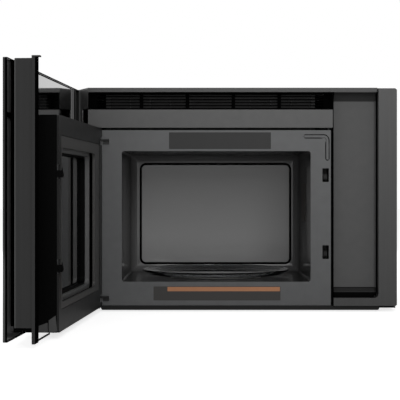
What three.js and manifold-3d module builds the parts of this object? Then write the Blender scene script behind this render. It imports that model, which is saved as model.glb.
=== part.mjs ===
// Over-the-range microwave oven with a full-width glass door, standing open.
// Millimetres, +Z up. The front faces -Y and the origin is the middle of the rear panel's outer face.
//
// Pieces are placed in a working frame: x runs right from the cabinet's left side, y runs back
// from the plane of the oven's face, and z runs up from the underside. Door pieces are placed as
// if the door were shut, and their group then swings them open about the hinge pins.

import * as THREE from "three";
import * as BufferGeometryUtils from "three/addons/utils/BufferGeometryUtils.js";
import Module from "manifold-3d";

const wasm = await Module();
wasm.setup();

// ---------------------------------------------------------------- driving dimensions

// cabinet
const WIDTH = 759;
const HEIGHT = 521;
const BODY_DEPTH = 404; // wall to oven face
const SHEET = 1.2;
const GAP = 0.3; // between pieces that touch
const SWING_POCKET_DEPTH = 66; // left front corner, cut back so that the door's edge can swing in
const SWING_POCKET_INSET = 9;
const FRONT_LEFT = 36; // left end of the top strip
const LIP_HEIGHT = 10;
const VENT_HEIGHT = 40;
const UPPER_PANEL_HEIGHT = 42.4;
const SEAM = 1.2; // shadow line between front panels
const FACE_SEAM = 6; // wider gap over the oven face
const POST_SEAM = 3.3; // gap beside the post
const HANGER_X = 140; // slots in the rear panel for a wall plate's tabs
const HANGER_WIDTH = 70;
const HANGER_Z = 20;
const HANGER_HEIGHT = 8;
const ROOF_BOLT_RADIUS = 4.5;
const ROOF_BOLT_INSET = 130;

// oven face and cavity
const FACE_LEFT = 64.7;
const FACE_RIGHT = WIDTH - 150.8;
const FACE_BOTTOM = 10.5;
const FACE_SHEET = 1.5;
const CAVITY_LEFT = 115.5;
const CAVITY_WIDTH = WIDTH - 316;
const CAVITY_BOTTOM = 66;
const CAVITY_HEIGHT = HEIGHT - 214.5;
const CAVITY_DEPTH = 388;
const CAVITY_CORNER = 6;
const CAVITY_REAR_RADIUS = 21;
const CAVITY_WALL = 1;
const CAVITY_FLANGE = 9;

// right column
const COLUMN_LEFT = FACE_RIGHT + 3.3;
const POST_WIDTH = 43;
const POST_STAND = 12; // how far the post stands in front of the oven face
const POST_FOOT = 18.5; // lip below the recess
const POST_CORNER = 10;
const POST_BACK = 13;
const POST_DROP = 2.8; // the post's top stands this far below the roof
const RECESS_DEPTH = 21;
const RECESS_CURVE = 20;

// bottom
const RAIL_LEFT = 67;
const RAIL_RIGHT = WIDTH - 40;
const RAIL_HEIGHT = 10;
const RAIL_DEPTH = 22;
const FILTER_DEPTH = 132;
const FILTER_THICKNESS = 9;
const FILTER_GAP = 96; // between the two filters
const FILTER_MARGIN = 137.5; // from the cabinet's side to the nearer filter
const FILTER_WIDTH = (WIDTH - FILTER_GAP) / 2 - FILTER_MARGIN;
const FILTER_FRONT = 150;
const LENS_WIDTH = 96;
const LENS_DEPTH = 46;
const LENS_FRONT = 48;

// door, shut
const HINGE_X = 64;
const HINGE_Y = -8;
const DOOR_OPEN = 94; // degrees
const DOOR_MARGIN = 3; // the glass is this much narrower than the cabinet at each side
const DOOR_BOTTOM = 8.5;
const DOOR_TOP = HEIGHT - 2;
const DOOR_FRONT = -74;
const GLASS = 4;
const GLASS_FRAME_WIDTH = 3;
const GLASS_FRAME_DEPTH = 3;
const DOOR_FACE = -2; // the inner face, beside the oven face
const CHASSIS_LEFT = 64;
const CHASSIS_RIGHT = FACE_RIGHT - 8.2;
const CHASSIS_BOTTOM = 9;
const CHASSIS_TOP = HEIGHT - 96;
const CHASSIS_WALL = 2;
const WINDOW_HINGE_MARGIN = 96; // from the chassis's edges to the window
const WINDOW_FREE_MARGIN = 38;

// handle channel at the door's free edge
const HANDLE_RIGHT = WIDTH - DOOR_MARGIN;
const HANDLE_FLANGE = 33;
const HANDLE_FLANGE_THICKNESS = 6;
const HANDLE_FLANGE_Y = -16;
const HANDLE_WEB_X = HANDLE_RIGHT - 6;
const HANDLE_GROOVE = 15; // finger groove behind the glass
const HANDLE_GROOVE_DEPTH = 28;
const HANDLE_WALL = 2;

// latch
const LATCH_X = CHASSIS_RIGHT - 6.5;
const LATCH_SLOT_WIDTH = 15;
const LATCH_SLOT_HEIGHT = 32;
const LATCH_UPPER = 300; // bottom of the upper slot
const LATCH_LOWER = 119.5;
const LATCH_TIP = 6; // how far the hooks reach behind the oven face's front

// turntable
const TRAY_RADIUS = 184;
const TRAY_LIFT = 11; // rim above the cavity floor
const ROLLER_RADIUS = 6;

// ventilation blower
const WHEEL_RADIUS = 46;
const WHEEL_WIDTH = 62;
const WHEEL_BLADES = 20;
const BLOWER_X = CAVITY_LEFT + CAVITY_WIDTH / 2 - 7;
const BLOWER_Y = 296;
const BLOWER_MOTOR_LENGTH = 74;
const BLOWER_MOTOR_RADIUS = 38;

// cooling fan
const FAN_RADIUS = 44;
const FAN_BLADES = 5;

// ---------------------------------------------------------------- materials

function finish(color, roughness, metalness) {
  return new THREE.MeshStandardMaterial({ color, roughness, metalness });
}
const paintedSteel = () => finish(0x565659, 0.45, 0.3);
const ovenEnamel = () => finish(0x5c5c5f, 0.35, 0.2);
const blackPlastic = () => finish(0x141415, 0.5, 0);
const darkTrim = () => finish(0x48484a, 0.4, 0.3);
const blackGlass = () => finish(0x0a0a0b, 0.08, 0);
const clearGlass = () => finish(0xaab4b4, 0.06, 0);
const zincSteel = () => finish(0x9a9c9e, 0.4, 0.8);
const aluminium = () => finish(0xb4b6b8, 0.4, 0.8);
const copper = () => finish(0xa8643c, 0.4, 0.8);
const lightPlastic = () => finish(0xd8d8d2, 0.55, 0);
const circuitBoard = () => finish(0x2c5a3a, 0.6, 0);
const micaSheet = () => finish(0xb8ad92, 0.6, 0);

// ---------------------------------------------------------------- shape helpers

const AXIS_X = new THREE.Vector3(1, 0, 0);
const AXIS_Y = new THREE.Vector3(0, 1, 0);
const AXIS_Z = new THREE.Vector3(0, 0, 1);

// Local x, y and z of a geometry turned to the three given directions.
function turned(geometry, toX, toY, toZ) {
  return geometry.applyMatrix4(new THREE.Matrix4().makeBasis(toX, toY, toZ));
}

function block(x0, x1, y0, y1, z0, z1) {
  const box = new THREE.BoxGeometry(x1 - x0, y1 - y0, z1 - z0);
  return box.translate((x0 + x1) / 2, (y0 + y1) / 2, (z0 + z1) / 2);
}

function extruded(shape, depth, curveSegments = 4) {
  return new THREE.ExtrudeGeometry(shape, { depth, curveSegments, bevelEnabled: false });
}

// A shape drawn in x and y, standing from z0 to z1.
function risen(shape, z0, z1, curveSegments) {
  return extruded(shape, z1 - z0, curveSegments).translate(0, 0, z0);
}

// A shape drawn in x and z, reaching from y0 back to y1.
function frontal(shape, y0, y1, curveSegments) {
  const geometry = extruded(shape, y1 - y0, curveSegments);
  return turned(geometry, AXIS_X, AXIS_Z, AXIS_Y.clone().negate()).translate(0, y1, 0);
}

// A shape drawn in y and z, reaching from x0 to x1.
function sideways(shape, x0, x1, curveSegments) {
  const geometry = extruded(shape, x1 - x0, curveSegments);
  return turned(geometry, AXIS_Y, AXIS_Z, AXIS_X).translate(x0, 0, 0);
}

function roundedRectangle(x0, x1, y0, y1, radius, Kind = THREE.Shape) {
  const outline = new Kind();
  outline.moveTo(x0 + radius, y0);
  outline.lineTo(x1 - radius, y0);
  outline.absarc(x1 - radius, y0 + radius, radius, -Math.PI / 2, 0);
  outline.absarc(x1 - radius, y1 - radius, radius, 0, Math.PI / 2);
  outline.absarc(x0 + radius, y1 - radius, radius, Math.PI / 2, Math.PI);
  outline.absarc(x0 + radius, y0 + radius, radius, Math.PI, Math.PI * 1.5);
  return outline;
}

function withHoles(shape, ...holes) {
  shape.holes.push(...holes);
  return shape;
}

function hole(x0, x1, y0, y1, radius) {
  return roundedRectangle(x0, x1, y0, y1, radius, THREE.Path);
}

function polygon(points) {
  return new THREE.Shape(points.map(([x, y]) => new THREE.Vector2(x, y)));
}

// Sheet metal bent along a line of points; the sheet lies to the left of the line.
function bentSheet(points, thickness) {
  const line = points.map(([x, y]) => new THREE.Vector2(x, y));
  const normals = line.slice(1).map((point, i) => {
    const along = point.clone().sub(line[i]).normalize();
    return new THREE.Vector2(-along.y, along.x);
  });
  const inner = line.map((point, i) => {
    const before = normals[Math.max(i - 1, 0)];
    const after = normals[Math.min(i, normals.length - 1)];
    const mitre = before.clone().add(after).normalize();
    return point.clone().addScaledVector(mitre, thickness / mitre.dot(after));
  });
  return new THREE.Shape([...line, ...inner.reverse()]);
}

function arcPoints(cx, cy, radius, from, to, steps) {
  return Array.from({ length: steps + 1 }, (_, i) => {
    const angle = THREE.MathUtils.degToRad(from + ((to - from) * i) / steps);
    return [cx + radius * Math.cos(angle), cy + radius * Math.sin(angle)];
  });
}

// A cylinder from one end of an axis to the other.
function rod(radius, axis, from, to, a, b, sides = 16) {
  const cylinder = new THREE.CylinderGeometry(radius, radius, to - from, sides);
  cylinder.translate(0, (from + to) / 2, 0);
  if (axis === "x") return turned(cylinder, AXIS_Y, AXIS_X, AXIS_Z.clone().negate()).translate(0, a, b);
  if (axis === "y") return cylinder.translate(a, 0, b);
  return turned(cylinder, AXIS_X, AXIS_Z, AXIS_Y.clone().negate()).translate(a, b, 0);
}

// A closed profile of radius and height, revolved about a vertical axis.
function revolved(profile, x, y, z, sides = 32) {
  const lathe = new THREE.LatheGeometry(profile.map(([r, h]) => new THREE.Vector2(r, h)), sides);
  return turned(lathe, AXIS_X, AXIS_Z, AXIS_Y.clone().negate()).translate(x, y, z);
}

// ---------------------------------------------------------------- joining and cutting

function solid(geometry) {
  const plain = geometry.clone();
  for (const name of Object.keys(plain.attributes)) {
    if (name !== "position") plain.deleteAttribute(name);
  }
  const merged = BufferGeometryUtils.mergeVertices(plain, 1e-4);
  return new wasm.Manifold(new wasm.Mesh({
    numProp: 3,
    vertProperties: new Float32Array(merged.attributes.position.array),
    triVerts: new Uint32Array(merged.index.array),
  }));
}

function joined(...geometries) {
  return geometries.map(solid).reduce((sum, next) => sum.add(next));
}

function cut(body, ...geometries) {
  return geometries.reduce((rest, tool) => rest.subtract(solid(tool)), body);
}

function toGeometry(manifold) {
  const { vertProperties, triVerts, numProp } = manifold.getMesh();
  const positions = new Float32Array((vertProperties.length / numProp) * 3);
  for (let i = 0; i < positions.length / 3; i += 1) {
    positions.set(vertProperties.subarray(i * numProp, i * numProp + 3), i * 3);
  }
  const geometry = new THREE.BufferGeometry();
  geometry.setAttribute("position", new THREE.BufferAttribute(positions, 3));
  geometry.setIndex(new THREE.BufferAttribute(new Uint32Array(triVerts), 1));
  geometry.computeVertexNormals();
  return geometry;
}

function piece(parent, name, shape, material) {
  const geometry = shape.isBufferGeometry ? shape : toGeometry(shape);
  const mesh = new THREE.Mesh(geometry, material);
  mesh.name = name;
  parent.add(mesh);
  return mesh;
}

// ---------------------------------------------------------------- the assembly's groups

const oven = new THREE.Group();
const body = new THREE.Group();
body.position.set(-WIDTH / 2, -BODY_DEPTH, -HEIGHT / 2);
oven.add(body);

// ---------------------------------------------------------------- cabinet

const LIP_BOTTOM = HEIGHT - LIP_HEIGHT;
const VENT_BOTTOM = LIP_BOTTOM - VENT_HEIGHT;
const UPPER_PANEL_BOTTOM = VENT_BOTTOM - SEAM - UPPER_PANEL_HEIGHT;
const FACE_TOP = UPPER_PANEL_BOTTOM - FACE_SEAM;
const POST_LEFT = WIDTH - POST_WIDTH;
const VENT_DEPTH = 30;
const TRAY_X = CAVITY_LEFT + CAVITY_WIDTH / 2;
const TRAY_Y = CAVITY_DEPTH / 2;
const TRAY_Z = CAVITY_BOTTOM + TRAY_LIFT;

function buildOuterCabinet() {
  const roof = HEIGHT - SHEET;
  const leftWall = bentSheet([
    [FACE_LEFT - GAP, SEAM], [FRONT_LEFT, SEAM], [SWING_POCKET_INSET, SWING_POCKET_DEPTH - 2],
    [0, SWING_POCKET_DEPTH], [0, BODY_DEPTH],
  ].reverse(), SHEET);
  const roofOutline = polygon([
    [0, SWING_POCKET_DEPTH], [SWING_POCKET_INSET, SWING_POCKET_DEPTH - 2], [FRONT_LEFT, SEAM],
    [FRONT_LEFT, 0],
    [POST_LEFT - SEAM, 0], [POST_LEFT - SEAM, 14], [WIDTH, 14], [WIDTH, BODY_DEPTH], [0, BODY_DEPTH],
  ]);
  const wallBottom = 3;
  const shell = joined(
    risen(leftWall, wallBottom, HEIGHT - SHEET / 2),
    risen(roofOutline, roof, HEIGHT),
    block(WIDTH - SHEET, WIDTH, 14, BODY_DEPTH, wallBottom, HEIGHT - SHEET / 2),
    block(FRONT_LEFT, POST_LEFT - SEAM, 0, SHEET, LIP_BOTTOM, HEIGHT - SHEET / 2),
  );
  const hingeNotch = block(
    FRONT_LEFT - 17, FRONT_LEFT + 1, SEAM - 1, 40, UPPER_PANEL_BOTTOM + 4, VENT_BOTTOM + 1,
  );
  const stripNotch = block(
    FRONT_LEFT + GAP, FACE_LEFT + 1, -1, VENT_DEPTH, UPPER_PANEL_BOTTOM - GAP, LIP_BOTTOM - GAP,
  );
  const roofHoles = [ROOF_BOLT_INSET, WIDTH - ROOF_BOLT_INSET].map((x) => rod(
    ROOF_BOLT_RADIUS, "z", HEIGHT - 4, HEIGHT + 2, x, BODY_DEPTH - 240, 12,
  ));
  return cut(shell, hingeNotch, stripNotch, ...roofHoles);
}

function buildRearPanel() {
  const outline = withHoles(
    roundedRectangle(SHEET + GAP, WIDTH - SHEET - GAP, 4, HEIGHT - SHEET - GAP, 3),
    hole(HANGER_X, HANGER_X + HANGER_WIDTH, HANGER_Z, HANGER_Z + HANGER_HEIGHT, 3),
    hole(WIDTH - HANGER_X - HANGER_WIDTH, WIDTH - HANGER_X, HANGER_Z, HANGER_Z + HANGER_HEIGHT, 3),
    hole(WIDTH - 96, WIDTH - 62, 34, 54, 8),
  );
  const sheet = frontal(outline, BODY_DEPTH - SHEET, BODY_DEPTH);
  const louvres = [0, 1, 2, 3, 4].map((i) => {
    const z = HEIGHT - 150 + i * 16;
    return block(WIDTH - 150, WIDTH - 60, BODY_DEPTH - 5, BODY_DEPTH + 1, z, z + 5);
  });
  return cut(solid(sheet), ...louvres);
}

function buildVentLouver() {
  const left = FRONT_LEFT + 2 * GAP;
  const right = COLUMN_LEFT - SEAM;
  const top = LIP_BOTTOM - 2 * GAP;
  const bottom = VENT_BOTTOM;
  const wall = 1.6;
  const tray = cut(
    solid(block(left, right, 2, VENT_DEPTH, bottom, top)),
    block(left + wall, right - wall, -1, VENT_DEPTH - wall, bottom + wall, top - wall),
  );
  const slotHeight = 4.4;
  const slots = [];
  const columns = 5;
  const pitch = (right - left - 30) / columns;
  for (let row = 0; row < 5; row += 1) {
    for (let column = 0; column < columns; column += 1) {
      const x = left + 15 + column * pitch;
      const z = bottom + 4.6 + row * 7;
      slots.push(block(x + 4, x + pitch - 4, VENT_DEPTH - 6, VENT_DEPTH + 2, z, z + slotHeight));
    }
  }
  return cut(tray, ...slots);
}

// A pressed front panel: a flat face with flanges turned back all round.
function pressedPanel(x0, x1, z0, z1, front, flange, wall) {
  return cut(
    solid(frontal(roundedRectangle(x0, x1, z0, z1, 1.2), front, front + flange, 2)),
    block(x0 + wall, x1 - wall, front + wall, front + flange + 1, z0 + wall, z1 - wall),
  );
}

function buildOvenFacePlate() {
  const cavity = hole(
    CAVITY_LEFT, CAVITY_LEFT + CAVITY_WIDTH,
    CAVITY_BOTTOM, CAVITY_BOTTOM + CAVITY_HEIGHT, CAVITY_CORNER,
  );
  const latchSlots = [LATCH_UPPER, LATCH_LOWER].map((z) => hole(
    LATCH_X - LATCH_SLOT_WIDTH / 2, LATCH_X + LATCH_SLOT_WIDTH / 2, z, z + LATCH_SLOT_HEIGHT, 1.5,
  ));
  const outline = withHoles(
    roundedRectangle(FACE_LEFT, FACE_RIGHT, FACE_BOTTOM, FACE_TOP, 3), cavity, ...latchSlots,
  );
  const beadWidth = 7;
  const bend = 13;
  const beadTop = FACE_TOP - 11;
  const beadRight = FACE_RIGHT - 7;
  const bead = polygon([
    [beadRight - 60, beadTop - beadWidth],
    ...arcPoints(beadRight - bend - beadWidth, beadTop - bend - beadWidth, bend, 90, 0, 5),
    [beadRight - beadWidth, beadTop - 58], [beadRight, beadTop - 58],
    ...arcPoints(beadRight - bend - beadWidth, beadTop - bend - beadWidth, bend + beadWidth, 0, 90, 5),
    [beadRight - 60, beadTop],
  ]);
  return joined(frontal(outline, 0, FACE_SHEET, 4), frontal(bead, -1.2, FACE_SHEET / 2));
}

// A box open towards the front, its rear edges rounded by one radius and its long edges by another.
function cavityBox(grow, front) {
  const [x0, x1] = [CAVITY_LEFT - grow, CAVITY_LEFT + CAVITY_WIDTH + grow];
  const [z0, z1] = [CAVITY_BOTTOM - grow, CAVITY_BOTTOM + CAVITY_HEIGHT + grow];
  const rear = CAVITY_DEPTH + grow;
  const radius = CAVITY_REAR_RADIUS + grow;
  const roundedRear = (low, high) => polygon([
    [low, front], [high, front],
    ...arcPoints(high - radius, rear - radius, radius, 0, 90, 5),
    ...arcPoints(low + radius, rear - radius, radius, 90, 180, 5),
  ]);
  const along = frontal(roundedRectangle(x0, x1, z0, z1, CAVITY_CORNER + grow), front, rear + 1, 3);
  const fromAbove = risen(roundedRear(x0, x1), z0 - 1, z1 + 1);
  const fromSide = turned(
    extruded(roundedRear(z0, z1), x1 - x0 + 2), AXIS_Z, AXIS_Y, AXIS_X.clone().negate(),
  );
  return solid(along).intersect(solid(fromAbove)).intersect(solid(fromSide.translate(x1 + 1, 0, 0)));
}

function buildCavityLiner() {
  const front = FACE_SHEET + GAP;
  const flange = frontal(
    roundedRectangle(
      CAVITY_LEFT - CAVITY_FLANGE, CAVITY_LEFT + CAVITY_WIDTH + CAVITY_FLANGE,
      CAVITY_BOTTOM - CAVITY_FLANGE, CAVITY_BOTTOM + CAVITY_HEIGHT + CAVITY_FLANGE, CAVITY_CORNER,
    ), front, front + SHEET, 3,
  );
  const shaftHole = rod(9, "z", CAVITY_BOTTOM - 4, CAVITY_BOTTOM + 4, TRAY_X, TRAY_Y);
  return cut(cavityBox(CAVITY_WALL, front).add(solid(flange)).subtract(cavityBox(0, front - 1)), shaftHole);
}

function buildRightPost() {
  const foot = FACE_BOTTOM + POST_FOOT;
  const corner = POST_CORNER;
  const top = HEIGHT - POST_DROP;
  const outline = polygon([
    [COLUMN_LEFT, FACE_BOTTOM], [WIDTH - 3, FACE_BOTTOM], [WIDTH, FACE_BOTTOM + 3],
    [WIDTH, top - 3], [WIDTH - 3, top], [POST_LEFT, top], [POST_LEFT, foot + corner],
    ...arcPoints(POST_LEFT - corner, foot + corner, corner, 0, -90, 6).slice(1),
    [COLUMN_LEFT, foot],
  ]);
  const wall = 2;
  const hollowPost = block(POST_LEFT + wall, WIDTH - wall, -POST_STAND + wall, 20, foot + wall, top - wall);
  const hollowFoot = block(
    COLUMN_LEFT + wall, WIDTH - wall, -POST_STAND + wall, 20, FACE_BOTTOM + wall, foot - wall,
  );
  return cut(solid(frontal(outline, -POST_STAND, POST_BACK, 4)), hollowPost, hollowFoot);
}

function buildRecessPanel() {
  const wall = 1.6;
  const foot = FACE_BOTTOM + POST_FOOT + GAP + wall;
  const top = LIP_BOTTOM - GAP - wall;
  const sheet = bentSheet([
    [0, foot], [2, foot],
    ...arcPoints(RECESS_DEPTH - RECESS_CURVE, foot + RECESS_CURVE, RECESS_CURVE, -90, 0, 6).slice(1),
    ...arcPoints(RECESS_DEPTH - RECESS_CURVE, top - RECESS_CURVE, RECESS_CURVE, 0, 90, 6),
    [0, top],
  ].reverse(), wall);
  const left = COLUMN_LEFT + GAP;
  const right = POST_LEFT - POST_SEAM;
  const side = block(right - wall, POST_LEFT - GAP, 14, RECESS_DEPTH + 0.5, foot + 6, top - 6);
  const cornerRoom = block(
    POST_LEFT - POST_CORNER - GAP, POST_LEFT + 1, -1, POST_BACK + GAP, 0,
    FACE_BOTTOM + POST_FOOT + POST_CORNER + GAP,
  );
  return cut(joined(sideways(sheet, left, right), side), cornerRoom);
}

function buildBottomRail() {
  const outline = roundedRectangle(RAIL_LEFT, RAIL_RIGHT, 0, RAIL_HEIGHT, 4.5);
  return cut(
    solid(frontal(outline, DOOR_FACE + GAP, RAIL_DEPTH, 4)),
    block(RAIL_LEFT + 6, RAIL_RIGHT - 6, 1, RAIL_DEPTH + 1, 2, RAIL_HEIGHT - 2),
  );
}

const FILTER_LEFTS = [-1, 1].map((side) => (
  WIDTH / 2 + side * (FILTER_WIDTH + FILTER_GAP) / 2 - FILTER_WIDTH / 2
));
const LENS_LEFTS = FILTER_LEFTS.map((left) => left + (FILTER_WIDTH - LENS_WIDTH) / 2);
const PAN_BOTTOM = 1.5;
const PAN_SHEET = 1.5;
const BAY_FLOOR = PAN_BOTTOM + 1.5 + PAN_SHEET + GAP;

function buildBasePan() {
  const left = SHEET + GAP;
  const right = WIDTH - SHEET - GAP;
  const front = RAIL_DEPTH + GAP;
  const rear = BODY_DEPTH - SHEET - GAP;
  const frontCorner = SWING_POCKET_DEPTH + 4;
  const outline = polygon([
    [FRONT_LEFT + 12, front], [right, front], [right, rear], [left, rear],
    [left, frontCorner], [SWING_POCKET_INSET + 4, frontCorner],
  ]);
  const rim = 2.2;
  outline.holes.push(
    ...FILTER_LEFTS.map((x) => hole(
      x + 5, x + FILTER_WIDTH - 5, FILTER_FRONT + 5, FILTER_FRONT + FILTER_DEPTH - 5, 4,
    )),
    ...LENS_LEFTS.map(
      (x) => hole(x + rim, x + LENS_WIDTH - rim, LENS_FRONT + rim, LENS_FRONT + LENS_DEPTH - rim, 4),
    ),
  );
  const flange = 16;
  const sheet = joined(
    risen(outline, PAN_BOTTOM + 1.5, PAN_BOTTOM + 1.5 + PAN_SHEET, 3),
    block(left, right, rear - PAN_SHEET, rear, PAN_BOTTOM + 2, flange),
    block(right - PAN_SHEET, right, front, rear, PAN_BOTTOM + 2, flange),
    block(left, left + PAN_SHEET, frontCorner, rear, PAN_BOTTOM + 2, flange),
  );
  const runners = FILTER_LEFTS.flatMap((x) => [x - 4, x + FILTER_WIDTH + 2].map((edge) => block(
    edge, edge + 2, FILTER_FRONT, FILTER_FRONT + FILTER_DEPTH + 20, PAN_BOTTOM + 2, PAN_BOTTOM + 16,
  )));
  return runners.map(solid).reduce((sum, next) => sum.add(next), sheet);
}

function buildGreaseFilter(left) {
  const bottom = BAY_FLOOR;
  const top = bottom + FILTER_THICKNESS;
  const outline = roundedRectangle(left, left + FILTER_WIDTH, FILTER_FRONT, FILTER_FRONT + FILTER_DEPTH, 5);
  const frame = 8;
  const columns = 9;
  const rows = 3;
  const pitchX = (FILTER_WIDTH - 2 * frame) / columns;
  const pitchY = (FILTER_DEPTH - 2 * frame) / rows;
  const cells = Array.from({ length: columns * rows }, (_, i) => {
    const x = left + frame + (i % columns) * pitchX;
    const y = FILTER_FRONT + frame + Math.floor(i / columns) * pitchY;
    return block(x + 3, x + pitchX - 3, y + 3, y + pitchY - 3, bottom - 1, top + 1);
  });
  const relief = block(
    left + frame, left + FILTER_WIDTH - frame, FILTER_FRONT + frame, FILTER_FRONT + FILTER_DEPTH - frame,
    top - 4, top + 1,
  );
  return cut(solid(risen(outline, bottom, top, 2)), ...cells, relief);
}

function buildLens(left) {
  const top = PAN_BOTTOM + 1.5 - GAP;
  const plate = risen(
    roundedRectangle(left, left + LENS_WIDTH, LENS_FRONT, LENS_FRONT + LENS_DEPTH, 5), top - 2.4, top,
  );
  const raised = 3;
  const boss = risen(roundedRectangle(
    left + raised, left + LENS_WIDTH - raised, LENS_FRONT + raised, LENS_FRONT + LENS_DEPTH - raised, 3,
  ), top - 1, top + 3);
  return joined(plate, boss);
}

function buildLampBoard(left) {
  const bottom = PAN_BOTTOM + 9;
  const legWidth = 4;
  const x0 = left - legWidth - 1;
  const x1 = left + LENS_WIDTH + legWidth + 1;
  const y0 = LENS_FRONT + 8;
  const y1 = LENS_FRONT + LENS_DEPTH - 8;
  const middle = LENS_FRONT + LENS_DEPTH / 2;
  const diodes = [0.3, 0.5, 0.7].map((share) => block(
    left + LENS_WIDTH * share - 4, left + LENS_WIDTH * share + 4, middle - 4, middle + 4, bottom - 2,
    bottom + 0.8,
  ));
  const legs = [x0, x1 - legWidth].map((x) => block(x, x + legWidth, y0, y1, BAY_FLOOR, bottom + 1));
  return joined(block(x0, x1, y0, y1, bottom, bottom + 1.6), ...diodes, ...legs);
}

// ---------------------------------------------------------------- turntable

function buildTray() {
  const glass = 4;
  const foot = TRAY_Z - glass;
  return revolved([
    [0, foot], [TRAY_RADIUS - 16, foot], [TRAY_RADIUS - 2, TRAY_Z + 4], [TRAY_RADIUS, TRAY_Z + 7],
    [TRAY_RADIUS - 2, TRAY_Z + 8], [TRAY_RADIUS - 18, TRAY_Z], [0, TRAY_Z],
  ], TRAY_X, TRAY_Y, 0, 40);
}

function buildRollerRing() {
  const radius = 118;
  const middle = CAVITY_BOTTOM + ROLLER_RADIUS * 0.5 + GAP;
  const height = 2.4;
  const ring = revolved([
    [radius - 4, middle - height / 2], [radius + 4, middle - height / 2],
    [radius + 4, middle + height / 2], [radius - 4, middle + height / 2], [radius - 4, middle - height / 2],
  ], TRAY_X, TRAY_Y, 0, 28);
  const wheelRadius = (TRAY_LIFT - 4 - 2 * GAP) / 2;
  const wheelCentre = CAVITY_BOTTOM + GAP + wheelRadius;
  const wheels = [90, 210, 330].map((angle) => {
    const wheel = rod(wheelRadius, "x", radius - 8, radius + 8, 0, wheelCentre, 14);
    return wheel.rotateZ(THREE.MathUtils.degToRad(angle)).translate(TRAY_X, TRAY_Y, 0);
  });
  return joined(ring, ...wheels);
}

function buildCoupler() {
  const arm = 26;
  const top = TRAY_Z - 4 - GAP;
  const hub = rod(11, "z", CAVITY_BOTTOM + GAP, top, TRAY_X, TRAY_Y, 18);
  const shaft = rod(4, "z", CAVITY_BOTTOM - 12, top - 1, TRAY_X, TRAY_Y, 12);
  const arms = [0, 120, 240].map((angle) => {
    const bar = block(4, arm, -3.5, 3.5, CAVITY_BOTTOM + 2, top - 1.5);
    return bar.rotateZ(THREE.MathUtils.degToRad(angle)).translate(TRAY_X, TRAY_Y, 0);
  });
  return joined(hub, shaft, ...arms);
}

function buildTurntableMotor() {
  const top = CAVITY_BOTTOM - CAVITY_WALL - GAP;
  const can = rod(25, "z", top - 22, top - 4, TRAY_X, TRAY_Y, 24);
  const plate = block(TRAY_X - 40, TRAY_X + 40, TRAY_Y - 9, TRAY_Y + 9, top - 5, top);
  return cut(joined(can, plate), rod(4 + 2 * GAP, "z", top - 14, top + 1, TRAY_X, TRAY_Y, 12));
}

// ---------------------------------------------------------------- ventilation blower

const DECK_Z = CAVITY_BOTTOM + CAVITY_HEIGHT + CAVITY_WALL + 3;
const BLOWER_Z = DECK_Z + 12 + WHEEL_RADIUS + 14;
const HOUSING_WIDTH = WHEEL_WIDTH + 14;
const HOUSING_WALL = 2;
const INLET_RADIUS = WHEEL_RADIUS - 8;
const HOUSING_OFFSET = BLOWER_MOTOR_LENGTH / 2 + 6;

// Outline of the scroll in y and z: a spiral that opens into an outlet facing the front.
function scrollOutline(shrink) {
  const start = 90;
  const turn = 270;
  const steps = 18;
  const points = Array.from({ length: steps + 1 }, (_, i) => {
    const share = i / steps;
    const angle = THREE.MathUtils.degToRad(start - turn * share);
    const radius = WHEEL_RADIUS + 6 + 10 * share - shrink;
    return [BLOWER_Y + radius * Math.cos(angle), BLOWER_Z + radius * Math.sin(angle)];
  });
  const outletFront = BLOWER_Y - WHEEL_RADIUS - 34 - (shrink ? 4 : 0);
  const top = BLOWER_Z + WHEEL_RADIUS + 6 - shrink;
  const cutoff = BLOWER_Z + 4 + shrink;
  const side = points[points.length - 1][0];
  return polygon([...points, [side, cutoff], [outletFront, cutoff], [outletFront, top]].reverse());
}

function buildBlowerHousing(side) {
  const inner = BLOWER_X + side * HOUSING_OFFSET;
  const x0 = Math.min(inner, inner + side * HOUSING_WIDTH);
  const x1 = x0 + HOUSING_WIDTH;
  const shell = solid(sideways(scrollOutline(0), x0, x1));
  const foot = block(x0, x1, BLOWER_Y - 50, BLOWER_Y + 50, DECK_Z + SHEET + GAP, DECK_Z + SHEET + GAP + 2);
  const legs = [-50, 44].map((y) => block(
    x0, x1, BLOWER_Y + y, BLOWER_Y + y + 6, DECK_Z + SHEET + GAP, BLOWER_Z - 30,
  ));
  const grown = [foot, ...legs].map(solid).reduce((sum, next) => sum.add(next), shell);
  return cut(
    grown,
    sideways(scrollOutline(HOUSING_WALL), x0 + HOUSING_WALL, x1 - HOUSING_WALL),
    rod(INLET_RADIUS, "x", x0 - 1, x1 + 1, BLOWER_Y, BLOWER_Z, 28),
  );
}

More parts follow.
